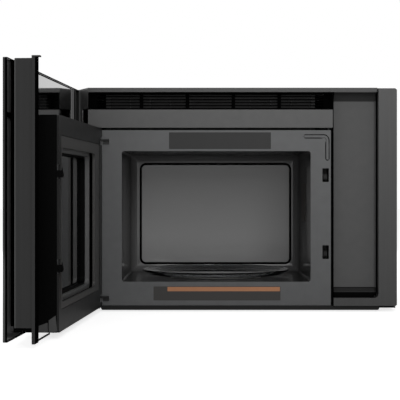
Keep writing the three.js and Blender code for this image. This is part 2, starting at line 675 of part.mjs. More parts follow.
function buildBlowerWheel(side) {
  const middle = BLOWER_X + side * (HOUSING_OFFSET + HOUSING_WIDTH / 2);
  const x0 = middle - WHEEL_WIDTH / 2;
  const rim = 2;
  const ring = (from) => sideways(withHoles(
    new THREE.Shape().absarc(BLOWER_Y, BLOWER_Z, WHEEL_RADIUS, 0, Math.PI * 2),
    new THREE.Path().absarc(BLOWER_Y, BLOWER_Z, WHEEL_RADIUS - 11, 0, Math.PI * 2),
  ), from, from + rim, 8);
  const blades = Array.from({ length: WHEEL_BLADES }, (_, i) => {
    const blade = bentSheet([[WHEEL_RADIUS - 10, -2], [WHEEL_RADIUS - 5, 1], [WHEEL_RADIUS - 1, 6]], 1.2);
    const angle = (i / WHEEL_BLADES) * Math.PI * 2;
    const geometry = turned(extruded(blade, WHEEL_WIDTH - rim), AXIS_Y, AXIS_Z, AXIS_X);
    return geometry.rotateX(angle).translate(x0 + rim / 2, BLOWER_Y, BLOWER_Z);
  });
  const hubPlate = rod(WHEEL_RADIUS - 6, "x", middle - 1.5, middle + 1.5, BLOWER_Y, BLOWER_Z, 20);
  const hub = rod(8, "x", middle - 14, middle + 14, BLOWER_Y, BLOWER_Z, 14);
  const bore = rod(4 + GAP, "x", middle - 20, middle + 20, BLOWER_Y, BLOWER_Z, 14);
  return cut(joined(ring(x0), ring(x0 + WHEEL_WIDTH - rim), hubPlate, hub, ...blades), bore);
}

function buildBlowerShaft() {
  const reach = HOUSING_OFFSET + HOUSING_WIDTH / 2 + 18;
  return rod(4, "x", BLOWER_X - reach, BLOWER_X + reach, BLOWER_Y, BLOWER_Z, 14);
}

function buildBlowerMotor() {
  const half = BLOWER_MOTOR_LENGTH / 2;
  const core = rod(BLOWER_MOTOR_RADIUS, "x", BLOWER_X - half, BLOWER_X + half, BLOWER_Y, BLOWER_Z, 28);
  const caps = rod(
    BLOWER_MOTOR_RADIUS - 16, "x", BLOWER_X - half - 4, BLOWER_X + half + 4, BLOWER_Y, BLOWER_Z, 20,
  );
  const cradle = block(
    BLOWER_X - 26, BLOWER_X + 26, BLOWER_Y - 30, BLOWER_Y + 30, DECK_Z + SHEET + GAP, BLOWER_Z - 24,
  );
  return cut(
    joined(core, caps, cradle), rod(4 + 2 * GAP, "x", BLOWER_X - 60, BLOWER_X + 60, BLOWER_Y, BLOWER_Z, 14),
  );
}

function buildBlowerDeck() {
  const left = FRONT_LEFT + 4;
  const right = COLUMN_LEFT - 4;
  const rear = BODY_DEPTH - SHEET - GAP;
  const lampHole = hole(CAVITY_LEFT + 20, CAVITY_LEFT + 60, 120, 160, 5);
  const outline = withHoles(roundedRectangle(left, right, VENT_DEPTH + GAP, rear, 3), lampHole);
  const tray = joined(
    risen(outline, DECK_Z, DECK_Z + SHEET, 3),
    block(left, left + SHEET, SWING_POCKET_DEPTH + 10, rear, DECK_Z, DECK_Z + 18),
    block(right - SHEET, right, VENT_DEPTH + GAP, rear, DECK_Z, DECK_Z + 18),
  );
  return tray;
}

function buildCharcoalFilter() {
  const left = FRONT_LEFT + 40;
  const right = COLUMN_LEFT - 40;
  const front = VENT_DEPTH + 4;
  const bottom = DECK_Z + SHEET + GAP;
  const top = LIP_BOTTOM - 4;
  const frame = 8;
  const columns = 10;
  const pitch = (right - left - 2 * frame) / columns;
  const cells = Array.from({ length: columns }, (_, i) => {
    const x = left + frame + i * pitch;
    return block(x + 2, x + pitch - 2, front - 1, front + 5, bottom + frame, top - frame);
  });
  return cut(solid(block(left, right, front, front + 16, bottom, top)), ...cells);
}

// ---------------------------------------------------------------- microwave source and cooling

const WAVEGUIDE_Y = 210;
const WAVEGUIDE_Z = 250;
const CAVITY_RIGHT = CAVITY_LEFT + CAVITY_WIDTH;
const BAY_LEFT = CAVITY_RIGHT + CAVITY_WALL;
const BAY_REAR = BODY_DEPTH - SHEET - GAP;

function buildWaveguideCover() {
  return acrossBay(roundedRectangle(
    WAVEGUIDE_Y - 55, WAVEGUIDE_Y + 55, WAVEGUIDE_Z - 48, WAVEGUIDE_Z + 48, 6,
  ), CAVITY_RIGHT - 0.8 - GAP, CAVITY_RIGHT - GAP);
}

function acrossBay(shape, x0, x1) {
  return sideways(shape, x0, x1, 3);
}

function buildWaveguide() {
  const x0 = BAY_LEFT + GAP;
  const length = 44;
  const tube = cut(
    solid(block(x0, x0 + length, WAVEGUIDE_Y - 50, WAVEGUIDE_Y + 50, WAVEGUIDE_Z - 42, WAVEGUIDE_Z + 42)),
    block(
      x0 - 1, x0 + length - 1.5, WAVEGUIDE_Y - 48.5, WAVEGUIDE_Y + 48.5, WAVEGUIDE_Z - 40.5,
      WAVEGUIDE_Z + 40.5,
    ),
    rod(16, "x", x0 + length - 3, x0 + length + 1, WAVEGUIDE_Y, WAVEGUIDE_Z, 20),
  );
  return tube;
}

const MAGNETRON_X = BAY_LEFT + 44 + 2 * GAP;

function buildMagnetron() {
  const x = MAGNETRON_X;
  const yoke = cut(
    solid(block(x, x + 84, WAVEGUIDE_Y - 44, WAVEGUIDE_Y + 44, WAVEGUIDE_Z - 38, WAVEGUIDE_Z + 38)),
    block(x + 4, x + 80, WAVEGUIDE_Y - 41, WAVEGUIDE_Y + 41, WAVEGUIDE_Z - 60, WAVEGUIDE_Z + 60),
  );
  const fins = Array.from({ length: 7 }, (_, i) => block(
    x + 16 + i * 8, x + 17.4 + i * 8, WAVEGUIDE_Y - 42, WAVEGUIDE_Y + 42, WAVEGUIDE_Z - 34, WAVEGUIDE_Z + 34,
  ));
  const anode = rod(22, "x", x + 3, x + 81, WAVEGUIDE_Y, WAVEGUIDE_Z, 24);
  const filterBox = block(
    x + 83, x + 112, WAVEGUIDE_Y - 30, WAVEGUIDE_Y + 30, WAVEGUIDE_Z - 28, WAVEGUIDE_Z + 28,
  );
  const antenna = rod(9, "x", x - 24, x + 4, WAVEGUIDE_Y, WAVEGUIDE_Z, 18);
  return [...fins, anode, filterBox, antenna].map(solid).reduce((sum, next) => sum.add(next), yoke);
}

const TRANSFORMER_X = WIDTH - 117;
const CAPACITOR_X = WIDTH - 115;
const CAPACITOR_Y = 120;

function buildTransformer() {
  const x = TRANSFORMER_X;
  const y = BODY_DEPTH - 134;
  const core = block(x, x + 88, y, y + 58, BAY_FLOOR, BAY_FLOOR + 92);
  const windings = [18, 52].map((rise) => block(
    x + 12, x + 76, y - 18, y + 76, BAY_FLOOR + rise, BAY_FLOOR + rise + 28,
  ));
  const base = block(x - 8, x + 96, y - 2, y + 60, BAY_FLOOR, BAY_FLOOR + 2.5);
  return joined(core, ...windings, base);
}

function buildCapacitor() {
  const x = CAPACITOR_X;
  const y = CAPACITOR_Y;
  const can = risen(roundedRectangle(x, x + 54, y, y + 36, 17.9), BAY_FLOOR + 1, BAY_FLOOR + 96, 6);
  const strap = block(x - 4, x + 58, y + 10, y + 26, BAY_FLOOR, BAY_FLOOR + 3);
  const terminals = [14, 34].map((along) => block(
    x + along, x + along + 6, y + 16, y + 17.4, BAY_FLOOR + 95, BAY_FLOOR + 108,
  ));
  return joined(can, strap, ...terminals);
}

const FAN_X = WIDTH - 69;
const FAN_Z = HEIGHT - 121;
const FAN_Y = BAY_REAR - 26;

function buildFanShroud() {
  const half = FAN_RADIUS + 8;
  const plate = frontal(withHoles(
    roundedRectangle(FAN_X - half, FAN_X + half, FAN_Z - half, FAN_Z + half, 5),
    new THREE.Path().absarc(FAN_X, FAN_Z, FAN_RADIUS + 3, 0, Math.PI * 2),
  ), FAN_Y - 16, BAY_REAR, 12);
  const spokes = [0, 90].map((angle) => block(-half + 1, half - 1, -4, 4, 0, 3).rotateZ(
    THREE.MathUtils.degToRad(angle),
  ).rotateX(Math.PI / 2).translate(FAN_X, BAY_REAR, FAN_Z));
  const motor = rod(20, "y", FAN_Y + 13, BAY_REAR - 1, FAN_X, FAN_Z, 20);
  const socket = rod(3 + 2 * GAP, "y", FAN_Y, BAY_REAR - 4, FAN_X, FAN_Z, 12);
  return cut(joined(plate, ...spokes, motor), socket);
}

function buildCoolingFan() {
  const hub = rod(13, "y", FAN_Y - 12, FAN_Y + 10, FAN_X, FAN_Z, 18);
  const shaft = rod(3, "y", FAN_Y + 5, FAN_Y + 20, FAN_X, FAN_Z, 12);
  const blades = Array.from({ length: FAN_BLADES }, (_, i) => {
    const outline = polygon([
      [10, -9], [FAN_RADIUS * 0.6, -13], [FAN_RADIUS, -8],
      [FAN_RADIUS, 10], [FAN_RADIUS * 0.6, 13], [10, 9],
    ]);
    const blade = extruded(outline, 1.6).translate(0, 0, -0.8);
    blade.rotateX(THREE.MathUtils.degToRad(32));
    blade.rotateZ((i / FAN_BLADES) * Math.PI * 2);
    return blade.rotateX(Math.PI / 2).translate(FAN_X, FAN_Y - 1, FAN_Z);
  });
  return joined(hub, shaft, ...blades);
}

function buildPowerBoard() {
  const x = WIDTH - SHEET - 14;
  const low = HEIGHT - 191;
  const board = block(x, x + 1.6, 60, 190, low, low + 140);
  const parts = [
    block(x - 26, x + 1, 72, 104, low + 20, low + 50), block(x - 20, x + 1, 116, 140, low + 14, low + 46),
    block(x - 18, x + 1, 74, 100, low + 66, low + 90), block(x - 12, x + 1, 112, 176, low + 62, low + 74),
    block(x - 16, x + 1, 150, 180, low + 100, low + 128), rod(7, "x", x - 24, x + 1, 130, low + 110, 14),
  ];
  const standoffs = [[66, 6], [184, 6], [66, 134], [184, 134]].map(
    ([y, rise]) => rod(4, "x", x + 1, WIDTH - SHEET - GAP, y, low + rise, 10),
  );
  return joined(board, ...parts, ...standoffs);
}

function buildCavityLamp() {
  const x = CAVITY_LEFT + 40;
  const y = 140;
  const base = CAVITY_BOTTOM + CAVITY_HEIGHT + CAVITY_WALL + GAP;
  return joined(
    rod(11, "z", base + 10, base + 34, x, y, 16),
    rod(8, "z", base, base + 12, x, y, 16),
    block(x - 18, x + 18, y - 4, y + 4, base + 8, base + 12),
  );
}

// ---------------------------------------------------------------- latch board and its switches

const BOARD_FRONT = FACE_SHEET + GAP;
const SWITCH_Y = LATCH_TIP + 7.3;
const SWITCH_SIZE = [10, 20, 12];

function buildLatchBoard() {
  const x0 = LATCH_X - 13;
  const x1 = LATCH_X + 13;
  const low = LATCH_LOWER - 12;
  const high = LATCH_UPPER + LATCH_SLOT_HEIGHT + 12;
  const frame = solid(block(x0, x1, BOARD_FRONT, 62, low, high));
  const slotCuts = [LATCH_LOWER, LATCH_UPPER].map((z) => block(
    x0 + 4, x1 - 4, BOARD_FRONT - 1, 56, z - 2, z + LATCH_SLOT_HEIGHT + 2,
  ));
  const middle = block(
    x0 + 4, x1 + 1, BOARD_FRONT + 4, 58, LATCH_LOWER + LATCH_SLOT_HEIGHT + 12, LATCH_UPPER - 14,
  );
  return cut(frame, ...slotCuts, middle);
}

function switchPlace(slotBottom) {
  const [width, depth, height] = SWITCH_SIZE;
  const x = LATCH_X - width / 2;
  return { x, y: SWITCH_Y, z: slotBottom + LATCH_SLOT_HEIGHT / 2 - height / 2 - 4, width, depth, height };
}

function buildSwitch(slotBottom) {
  const { x, y, z, width, depth, height } = switchPlace(slotBottom);
  const housing = solid(block(x, x + width, y, y + depth, z, z + height));
  const terminals = block(x + 3, x + 7, y + depth - 1, 56 - GAP, z + 4, z + 8);
  const well = block(
    LATCH_X - 2 - GAP, LATCH_X + 2 + GAP, y - 1, y + 8, z + height / 2 - 2 - GAP, z + height / 2 + 2 + GAP,
  );
  return cut(housing.add(solid(terminals)), well);
}

function buildPlunger(slotBottom) {
  const { y, z, height } = switchPlace(slotBottom);
  const middle = z + height / 2;
  return joined(
    block(LATCH_X - 2, LATCH_X + 2, y - 5, y + 4, middle - 2, middle + 2),
    block(LATCH_X - 4, LATCH_X + 4, y - 6.5, y - 4.5, middle - 4, middle + 4),
  );
}

// ---------------------------------------------------------------- hinges

const ARM_THICKNESS = 3;
const PIN_RADIUS = 3;
const ARM_INSET = 28; // the upper hinge arm, below the chassis's top
const ARM_UPPER = CHASSIS_TOP - ARM_INSET;
const ARM_LOWER = CHASSIS_BOTTOM + 21;
const ARM_RIGHT = HINGE_X + 22;

function buildHingeBracket(z) {
  const arm = risen(withHoles(
    roundedRectangle(HINGE_X - 5.5, ARM_RIGHT, HINGE_Y - 5.5, -GAP, 2),
    new THREE.Path().absarc(HINGE_X, HINGE_Y, PIN_RADIUS + GAP, 0, Math.PI * 2),
  ), z, z + ARM_THICKNESS, 6);
  const leg = block(ARM_RIGHT - 14, ARM_RIGHT, -GAP - 2, -GAP, z - 9, z + ARM_THICKNESS);
  return joined(arm, leg);
}

// ---------------------------------------------------------------- door

const door = new THREE.Group();
door.position.set(HINGE_X, HINGE_Y, 0);
door.rotation.z = -THREE.MathUtils.degToRad(DOOR_OPEN);
body.add(door);
const shut = new THREE.Group(); // door pieces in the working frame, as if shut
shut.position.set(-HINGE_X, -HINGE_Y, 0);
door.add(shut);

const DOOR_LEFT = DOOR_MARGIN;
const DOOR_RIGHT = WIDTH - DOOR_MARGIN;
const GLASS_BACK = DOOR_FRONT + GLASS;
const FRAME_FRONT = GLASS_BACK + GAP;
const FRAME_BACK = FRAME_FRONT + GLASS_FRAME_DEPTH;
const CHASSIS_FRONT = FRAME_BACK + GAP;
const WINDOW = [
  CHASSIS_LEFT + WINDOW_HINGE_MARGIN, CHASSIS_RIGHT - WINDOW_FREE_MARGIN,
  CAVITY_BOTTOM - 3, CAVITY_BOTTOM + CAVITY_HEIGHT - 9,
];
const POCKET_UPPER = [ARM_UPPER - 11, ARM_UPPER + ARM_THICKNESS + 5];
const POCKET_LOWER = [ARM_LOWER - 11, ARM_LOWER + ARM_THICKNESS + 5];

function inset([x0, x1, z0, z1], by) {
  return [x0 + by, x1 - by, z0 + by, z1 - by];
}

function buildDoorGlass() {
  return frontal(
    roundedRectangle(DOOR_LEFT, DOOR_RIGHT, DOOR_BOTTOM, DOOR_TOP, 2), DOOR_FRONT, GLASS_BACK, 3,
  );
}

function buildGlassFrame() {
  const w = GLASS_FRAME_WIDTH;
  const outer = roundedRectangle(DOOR_LEFT, DOOR_RIGHT, DOOR_BOTTOM, DOOR_TOP, 2);
  const opening = hole(DOOR_LEFT + w, DOOR_RIGHT - w, DOOR_BOTTOM + w, DOOR_TOP - w, 2);
  const ring = frontal(withHoles(outer, opening), FRAME_FRONT, FRAME_BACK, 3);
  const rails = [CHASSIS_TOP - 14, CHASSIS_BOTTOM + 4].map((z) => block(
    DOOR_LEFT + 2, DOOR_RIGHT - 2, FRAME_FRONT, FRAME_BACK, z, z + 10,
  ));
  const stiles = [CHASSIS_LEFT + 2, CHASSIS_RIGHT - 12].map((x) => block(
    x, x + 10, FRAME_FRONT, FRAME_BACK, DOOR_BOTTOM + 2, DOOR_TOP - 2,
  ));
  return joined(ring, ...rails, ...stiles);
}

const INNER_FACE = DOOR_FACE - 4; // where the chassis ends and the inner panel begins
const PANEL_BACK = INNER_FACE - GAP;

function hingePockets() {
  return [POCKET_UPPER, POCKET_LOWER].map(([low, high]) => block(
    HINGE_X - 12, ARM_RIGHT + 5, HINGE_Y - 9, DOOR_FACE + 5, low, high,
  ));
}

// Window frames, from the inner face inwards: the inner panel's own rim, a shadow gap, the bezel
// and the chassis's collar round the glass.
const RIM_DEPTH = 7;
const BEZEL_INSET = 7;
const BEZEL_BACK = DOOR_FACE - 14;
const BEZEL_FRONT = DOOR_FACE - 23;
const COLLAR_INSET = 11;
const PANE_BACK = DOOR_FACE - 32;

// A frame round the window whose hole is this far inside the window's outline.
function windowFrame(by, width, y0, y1) {
  const [x0, x1, z0, z1] = inset(WINDOW, by - width);
  const [left, right, low, high] = inset(WINDOW, by);
  return frontal(withHoles(
    roundedRectangle(x0, x1, z0, z1, 14), hole(left, right, low, high, 12),
  ), y0, y1, 4);
}

function buildDoorChassis() {
  const w = CHASSIS_WALL;
  const box = solid(
    block(CHASSIS_LEFT, CHASSIS_RIGHT, CHASSIS_FRONT, PANEL_BACK, CHASSIS_BOTTOM, CHASSIS_TOP),
  );
  const hollow = block(
    CHASSIS_LEFT + w, CHASSIS_RIGHT - w, CHASSIS_FRONT + 2, PANEL_BACK + 1, CHASSIS_BOTTOM + w,
    CHASSIS_TOP - w,
  );
  const [x0, x1, z0, z1] = inset(WINDOW, COLLAR_INSET + 4);
  const sight = frontal(roundedRectangle(x0, x1, z0, z1, 12), CHASSIS_FRONT - 1, CHASSIS_FRONT + 3, 4);
  const collar = windowFrame(COLLAR_INSET, 7, CHASSIS_FRONT + 1, BEZEL_FRONT - GAP);
  const blocks = [
    block(HINGE_X - 5, HINGE_X + 22, HINGE_Y - 5.5, PANEL_BACK, POCKET_UPPER[1] + GAP, CHASSIS_TOP - w / 2),
    block(
      HINGE_X - 5, HINGE_X + 22, HINGE_Y - 5.5, PANEL_BACK, CHASSIS_BOTTOM + w / 2, POCKET_LOWER[0] - GAP,
    ),
    block(
      HINGE_X + 0.5, ARM_RIGHT + 8, HINGE_Y - 13, HINGE_Y - 9.5, POCKET_UPPER[0] - 8, CHASSIS_TOP - w / 2,
    ),
    block(
      HINGE_X + 0.5, ARM_RIGHT + 8, HINGE_Y - 13, HINGE_Y - 9.5, CHASSIS_BOTTOM + w / 2, POCKET_LOWER[1] + 8,
    ),
  ];
  const bores = [
    rod(PIN_RADIUS + GAP, "z", POCKET_UPPER[1] - 1, CHASSIS_TOP - 4, HINGE_X, HINGE_Y, 14),
    rod(PIN_RADIUS + GAP, "z", CHASSIS_BOTTOM + 4, POCKET_LOWER[0] + 1, HINGE_X, HINGE_Y, 14),
  ];
  const walled = cut(box, hollow, sight, ...hingePockets());
  const grown = [collar, ...blocks].map(solid).reduce((sum, next) => sum.add(next), walled);
  return cut(grown, ...bores);
}

const COVER_TOP = 38; // widths of the choke cover round the inner panel
const COVER_BOTTOM = 42;
const COVER_HINGE_SIDE = 35.6;
const COVER_FREE_SIDE = 23;

function innerPanelOutline(shrink, Kind) {
  return roundedRectangle(
    CHASSIS_LEFT + COVER_HINGE_SIDE + shrink, CHASSIS_RIGHT - COVER_FREE_SIDE - shrink,
    CHASSIS_BOTTOM + COVER_BOTTOM + shrink, CHASSIS_TOP - COVER_TOP - shrink, 5, Kind,
  );
}

// A plastic ring over the choke round the door's inner face.
function buildChokeCover() {
  const outline = roundedRectangle(CHASSIS_LEFT, CHASSIS_RIGHT, CHASSIS_BOTTOM, CHASSIS_TOP, 3);
  const ring = frontal(withHoles(outline, innerPanelOutline(0, THREE.Path)), INNER_FACE, DOOR_FACE, 3);
  const latchNotches = [LATCH_UPPER, LATCH_LOWER].map((z) => block(
    LATCH_X - 5, CHASSIS_RIGHT + 1, INNER_FACE - 1, DOOR_FACE + 1, z + 2, z + LATCH_SLOT_HEIGHT - 2,
  ));
  const pinRoom = rod(PIN_RADIUS + GAP, "z", CHASSIS_BOTTOM - 1, CHASSIS_TOP + 1, HINGE_X, HINGE_Y, 14);
  return cut(solid(ring), ...hingePockets(), ...latchNotches, pinRoom);
}

// The plate inside the ring, with its window rim turned inwards.
function buildInnerPanel() {
  const rim = 2;
  const [x0, x1, z0, z1] = WINDOW;
  const plate = frontal(innerPanelOutline(GAP), INNER_FACE, DOOR_FACE - 1.6, 3);
  const sleeve = frontal(
    roundedRectangle(x0 - rim, x1 + rim, z0 - rim, z1 + rim, 14), DOOR_FACE - RIM_DEPTH, DOOR_FACE - 2, 4,
  );
  const opening = frontal(roundedRectangle(x0, x1, z0, z1, 12), DOOR_FACE - RIM_DEPTH - 1, DOOR_FACE, 4);
  return cut(joined(plate, sleeve), opening);
}

function buildWindowBezel() {
  return windowFrame(BEZEL_INSET, 9, BEZEL_FRONT, BEZEL_BACK);
}

function buildInnerWindow() {
  const [x0, x1, z0, z1] = inset(WINDOW, COLLAR_INSET + GAP);
  return frontal(roundedRectangle(x0, x1, z0, z1, 12), PANE_BACK - 3.5, PANE_BACK, 4);
}

function buildWindowScreen() {
  const [x0, x1, z0, z1] = inset(WINDOW, COLLAR_INSET + GAP);
  return frontal(roundedRectangle(x0, x1, z0, z1, 12), PANE_BACK - 5, PANE_BACK - 3.5 - GAP, 3);
}

function buildHandleChannel() {
  const flangeBottom = DOOR_BOTTOM - 2.5;
  const flangeTop = DOOR_TOP + 2.5;
  const webBottom = DOOR_BOTTOM + 26;
  const flange = block(
    HANDLE_RIGHT - HANDLE_FLANGE, HANDLE_RIGHT,
    HANDLE_FLANGE_Y - HANDLE_FLANGE_THICKNESS, HANDLE_FLANGE_Y, flangeBottom, flangeTop,
  );
  const slit = block(
    HANDLE_RIGHT - HANDLE_FLANGE - 1, HANDLE_RIGHT - 4,
    HANDLE_FLANGE_Y - HANDLE_FLANGE_THICKNESS + HANDLE_WALL, HANDLE_FLANGE_Y - HANDLE_WALL,
    flangeBottom - 1, flangeTop + 1,
  );
  const grooveBack = FRAME_BACK + HANDLE_GROOVE;
  const floor = HANDLE_WEB_X - HANDLE_GROOVE_DEPTH;
  const profile = bentSheet([
    [HANDLE_WEB_X, HANDLE_FLANGE_Y - HANDLE_FLANGE_THICKNESS / 2], [HANDLE_WEB_X, grooveBack],
    [floor, grooveBack], [floor, FRAME_BACK + GAP + HANDLE_WALL],
    [floor - 14, FRAME_BACK + GAP + HANDLE_WALL],
  ], HANDLE_WALL);
  const hook = block(
    HANDLE_RIGHT - 12, HANDLE_RIGHT, HANDLE_FLANGE_Y - 1, HANDLE_FLANGE_Y + 9, flangeTop - 2.5, flangeTop,
  );
  return joined(flange, hook).subtract(solid(slit)).add(solid(risen(profile, webBottom, DOOR_TOP - 2)));
}

const CONTROL_LEFT = CHASSIS_RIGHT + 8;
const CONTROL_RIGHT = HANDLE_WEB_X - HANDLE_GROOVE_DEPTH - 20;
const CONTROL_FRONT = GLASS_BACK + GAP; // the housing is bonded to the back of the glass
const CONTROL_DEPTH = 22;
const CONTROL_BOTTOM = 60;
const CONTROL_TOP = CHASSIS_TOP - 25;
const CONTROL_WALL = 2;

function buildControlHousing() {
  const w = CONTROL_WALL;
  return cut(
    solid(block(
      CONTROL_LEFT, CONTROL_RIGHT, CONTROL_FRONT, CONTROL_FRONT + CONTROL_DEPTH, CONTROL_BOTTOM, CONTROL_TOP,
    )),
    block(
      CONTROL_LEFT + w, CONTROL_RIGHT - w, CONTROL_FRONT - 1, CONTROL_FRONT + CONTROL_DEPTH - w,
      CONTROL_BOTTOM + w, CONTROL_TOP - w,
    ),
  );
}

// The touch board with its display block and four posts down to the housing's floor.
function buildTouchBoard() {
  const front = CONTROL_FRONT + 6;
  const thickness = 1.6;
  const post = 12;
  const [low, high] = [CONTROL_BOTTOM + 10, CONTROL_TOP - 10];
  const board = block(CONTROL_LEFT + 5, CONTROL_RIGHT - 5, front, front + thickness, low, high);
  const display = block(
    CONTROL_LEFT + 16, CONTROL_RIGHT - 16, CONTROL_FRONT, front + 1, high - 60, high - 24,
  );
  const posts = [low + 10, high - 10].flatMap((z) => [CONTROL_LEFT + post, CONTROL_RIGHT - post].map(
    (x) => rod(3.5, "y", front + 1, CONTROL_FRONT + CONTROL_DEPTH - CONTROL_WALL - GAP, x, z, 10),
  ));
  return joined(board, display, ...posts);
}

// ---------------------------------------------------------------- latch slide

const HOOK_THICKNESS = 5;

function buildLatchSlide() {
  const bar = block(
    LATCH_X - 2, LATCH_X + 2, PANEL_BACK - 12, PANEL_BACK - 2, LATCH_LOWER + 1, LATCH_UPPER + 27,
  );
  const hooks = [LATCH_LOWER, LATCH_UPPER].map((z) => {
    const stem = z + 5;
    const outline = polygon([
      [PANEL_BACK - 11, stem], [LATCH_TIP - 2, stem], [LATCH_TIP, stem + 4],
      [LATCH_TIP - 3, stem + 19], [FACE_SHEET + 1, stem + 19], [FACE_SHEET + 0.4, stem + 14],
      [PANEL_BACK - 3, stem + 14], [PANEL_BACK - 11, stem + 14],
    ]);
    return sideways(outline, LATCH_X - HOOK_THICKNESS / 2, LATCH_X + HOOK_THICKNESS / 2);
  });
  return joined(bar, ...hooks);
}

function buildLatchSpring() {
  const turns = 6;
  const radius = 1.8;
  const wire = 0.4;
  const low = LATCH_UPPER + 27 + GAP + wire;
  const high = low + 24;
  const stepsPerTurn = 8;
  const path = new THREE.CatmullRomCurve3(Array.from({ length: turns * stepsPerTurn + 1 }, (_, i) => {
    const angle = (i / stepsPerTurn) * Math.PI * 2;
    const z = low + ((high - low) * i) / (turns * stepsPerTurn);
    return new THREE.Vector3(
      LATCH_X + radius * Math.cos(angle), PANEL_BACK - 7 + radius * Math.sin(angle), z,
    );
  }));
  const section = new THREE.Shape().absarc(0, 0, wire, 0, Math.PI * 2);
  return new THREE.ExtrudeGeometry(section, {
    steps: turns * stepsPerTurn, curveSegments: 3, bevelEnabled: false, extrudePath: path,
  });
}

function buildLatchGuide() {
  const top = LATCH_UPPER + 27 + GAP + 0.4 + 24 + 0.4 + GAP;
  const x0 = LATCH_X - 4.2;
  const x1 = CHASSIS_RIGHT - CHASSIS_WALL - GAP;
  const low = LATCH_LOWER + 40;
  return joined(
    block(x0, x1, PANEL_BACK - 14, PANEL_BACK - 1, top, top + 3),
    block(x1 - 1.6, x1, PANEL_BACK - 14, PANEL_BACK - 1, low, top + 3),
    block(LATCH_X + 2 + GAP, x1, PANEL_BACK - 14, PANEL_BACK - 1, low, low + 8),
  );
}

// ---------------------------------------------------------------- assembly

piece(body, "outer_cabinet", buildOuterCabinet(), paintedSteel());
piece(body, "rear_panel", buildRearPanel(), zincSteel());
piece(body, "base_pan", buildBasePan(), paintedSteel());
piece(body, "bottom_rail", buildBottomRail(), blackPlastic());
piece(body, "vent_louver", buildVentLouver(), blackPlastic());
piece(
  body, "upper_front_panel",
  pressedPanel(
    FRONT_LEFT + 2 * GAP, COLUMN_LEFT - SEAM, UPPER_PANEL_BOTTOM, VENT_BOTTOM - SEAM, 0, 24, 1.5,
  ), paintedSteel(),
);
piece(body, "oven_face_plate", buildOvenFacePlate(), ovenEnamel());
piece(body, "cavity_liner", buildCavityLiner(), ovenEnamel());
piece(body, "right_post", buildRightPost(), darkTrim());
piece(body, "recess_panel", buildRecessPanel(), darkTrim());
piece(body, "charcoal_filter", buildCharcoalFilter(), blackPlastic());
FILTER_LEFTS.forEach((left, i) => {
  piece(body, `grease_filter_${["left", "right"][i]}`, buildGreaseFilter(left), aluminium());
});
LENS_LEFTS.forEach((left, i) => {
  piece(body, `cooktop_lamp_lens_${["left", "right"][i]}`, buildLens(left), clearGlass());
  piece(body, `cooktop_lamp_${["left", "right"][i]}`, buildLampBoard(left), lightPlastic());
});

piece(body, "turntable_tray", buildTray(), clearGlass());
piece(body, "roller_ring", buildRollerRing(), lightPlastic());
piece(body, "turntable_coupler", buildCoupler(), lightPlastic());
piece(body, "turntable_motor", buildTurntableMotor(), zincSteel());

piece(body, "blower_deck", buildBlowerDeck(), zincSteel());
[["left", -1], ["right", 1]].forEach(([name, side]) => {
  piece(body, `blower_housing_${name}`, buildBlowerHousing(side), zincSteel());
  piece(body, `blower_wheel_${name}`, buildBlowerWheel(side), blackPlastic());
});
piece(body, "blower_motor", buildBlowerMotor(), zincSteel());
piece(body, "blower_shaft", buildBlowerShaft(), zincSteel());

piece(body, "waveguide_cover", buildWaveguideCover(), micaSheet());
piece(body, "waveguide", buildWaveguide(), aluminium());
piece(body, "magnetron", buildMagnetron(), zincSteel());
piece(body, "transformer", buildTransformer(), copper());
piece(body, "capacitor", buildCapacitor(), aluminium());
piece(body, "fan_shroud", buildFanShroud(), blackPlastic());
piece(body, "cooling_fan", buildCoolingFan(), blackPlastic());
piece(body, "power_board", buildPowerBoard(), circuitBoard());
piece(body, "cavity_lamp", buildCavityLamp(), lightPlastic());

piece(body, "latch_board", buildLatchBoard(), lightPlastic());
[["upper", LATCH_UPPER], ["lower", LATCH_LOWER]].forEach(([name, slotBottom]) => {
  piece(body, `door_switch_${name}`, buildSwitch(slotBottom), blackPlastic());
  piece(body, `switch_plunger_${name}`, buildPlunger(slotBottom), lightPlastic());
});
[["upper", ARM_UPPER], ["lower", ARM_LOWER]].forEach(([name, z]) => {
  piece(body, `hinge_bracket_${name}`, buildHingeBracket(z), zincSteel());
});

piece(shut, "door_glass", buildDoorGlass(), blackGlass());
piece(shut, "glass_frame", buildGlassFrame(), blackPlastic());
piece(shut, "door_chassis", buildDoorChassis(), blackPlastic());
piece(shut, "choke_cover", buildChokeCover(), blackPlastic());
piece(shut, "door_inner_panel", buildInnerPanel(), darkTrim());
piece(shut, "window_bezel", buildWindowBezel(), darkTrim());
piece(shut, "window_screen", buildWindowScreen(), blackPlastic());
piece(shut, "inner_window", buildInnerWindow(), blackGlass());
piece(shut, "handle_channel", buildHandleChannel(), darkTrim());
piece(shut, "control_housing", buildControlHousing(), blackPlastic());
piece(shut, "touch_board", buildTouchBoard(), circuitBoard());
piece(shut, "latch_slide", buildLatchSlide(), blackPlastic());
piece(shut, "latch_spring", buildLatchSpring(), zincSteel());
piece(shut, "latch_guide", buildLatchGuide(), blackPlastic());
piece(
  shut, "hinge_pin_upper",
  rod(PIN_RADIUS, "z", ARM_UPPER - 3, CHASSIS_TOP - 4 - GAP, HINGE_X, HINGE_Y, 14), zincSteel(),
);
piece(
  shut, "hinge_pin_lower",
  rod(PIN_RADIUS, "z", CHASSIS_BOTTOM + 4 + GAP, ARM_LOWER + ARM_THICKNESS + 3, HINGE_X, HINGE_Y, 14),
  zincSteel(),
);

export default oven;
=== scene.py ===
import math

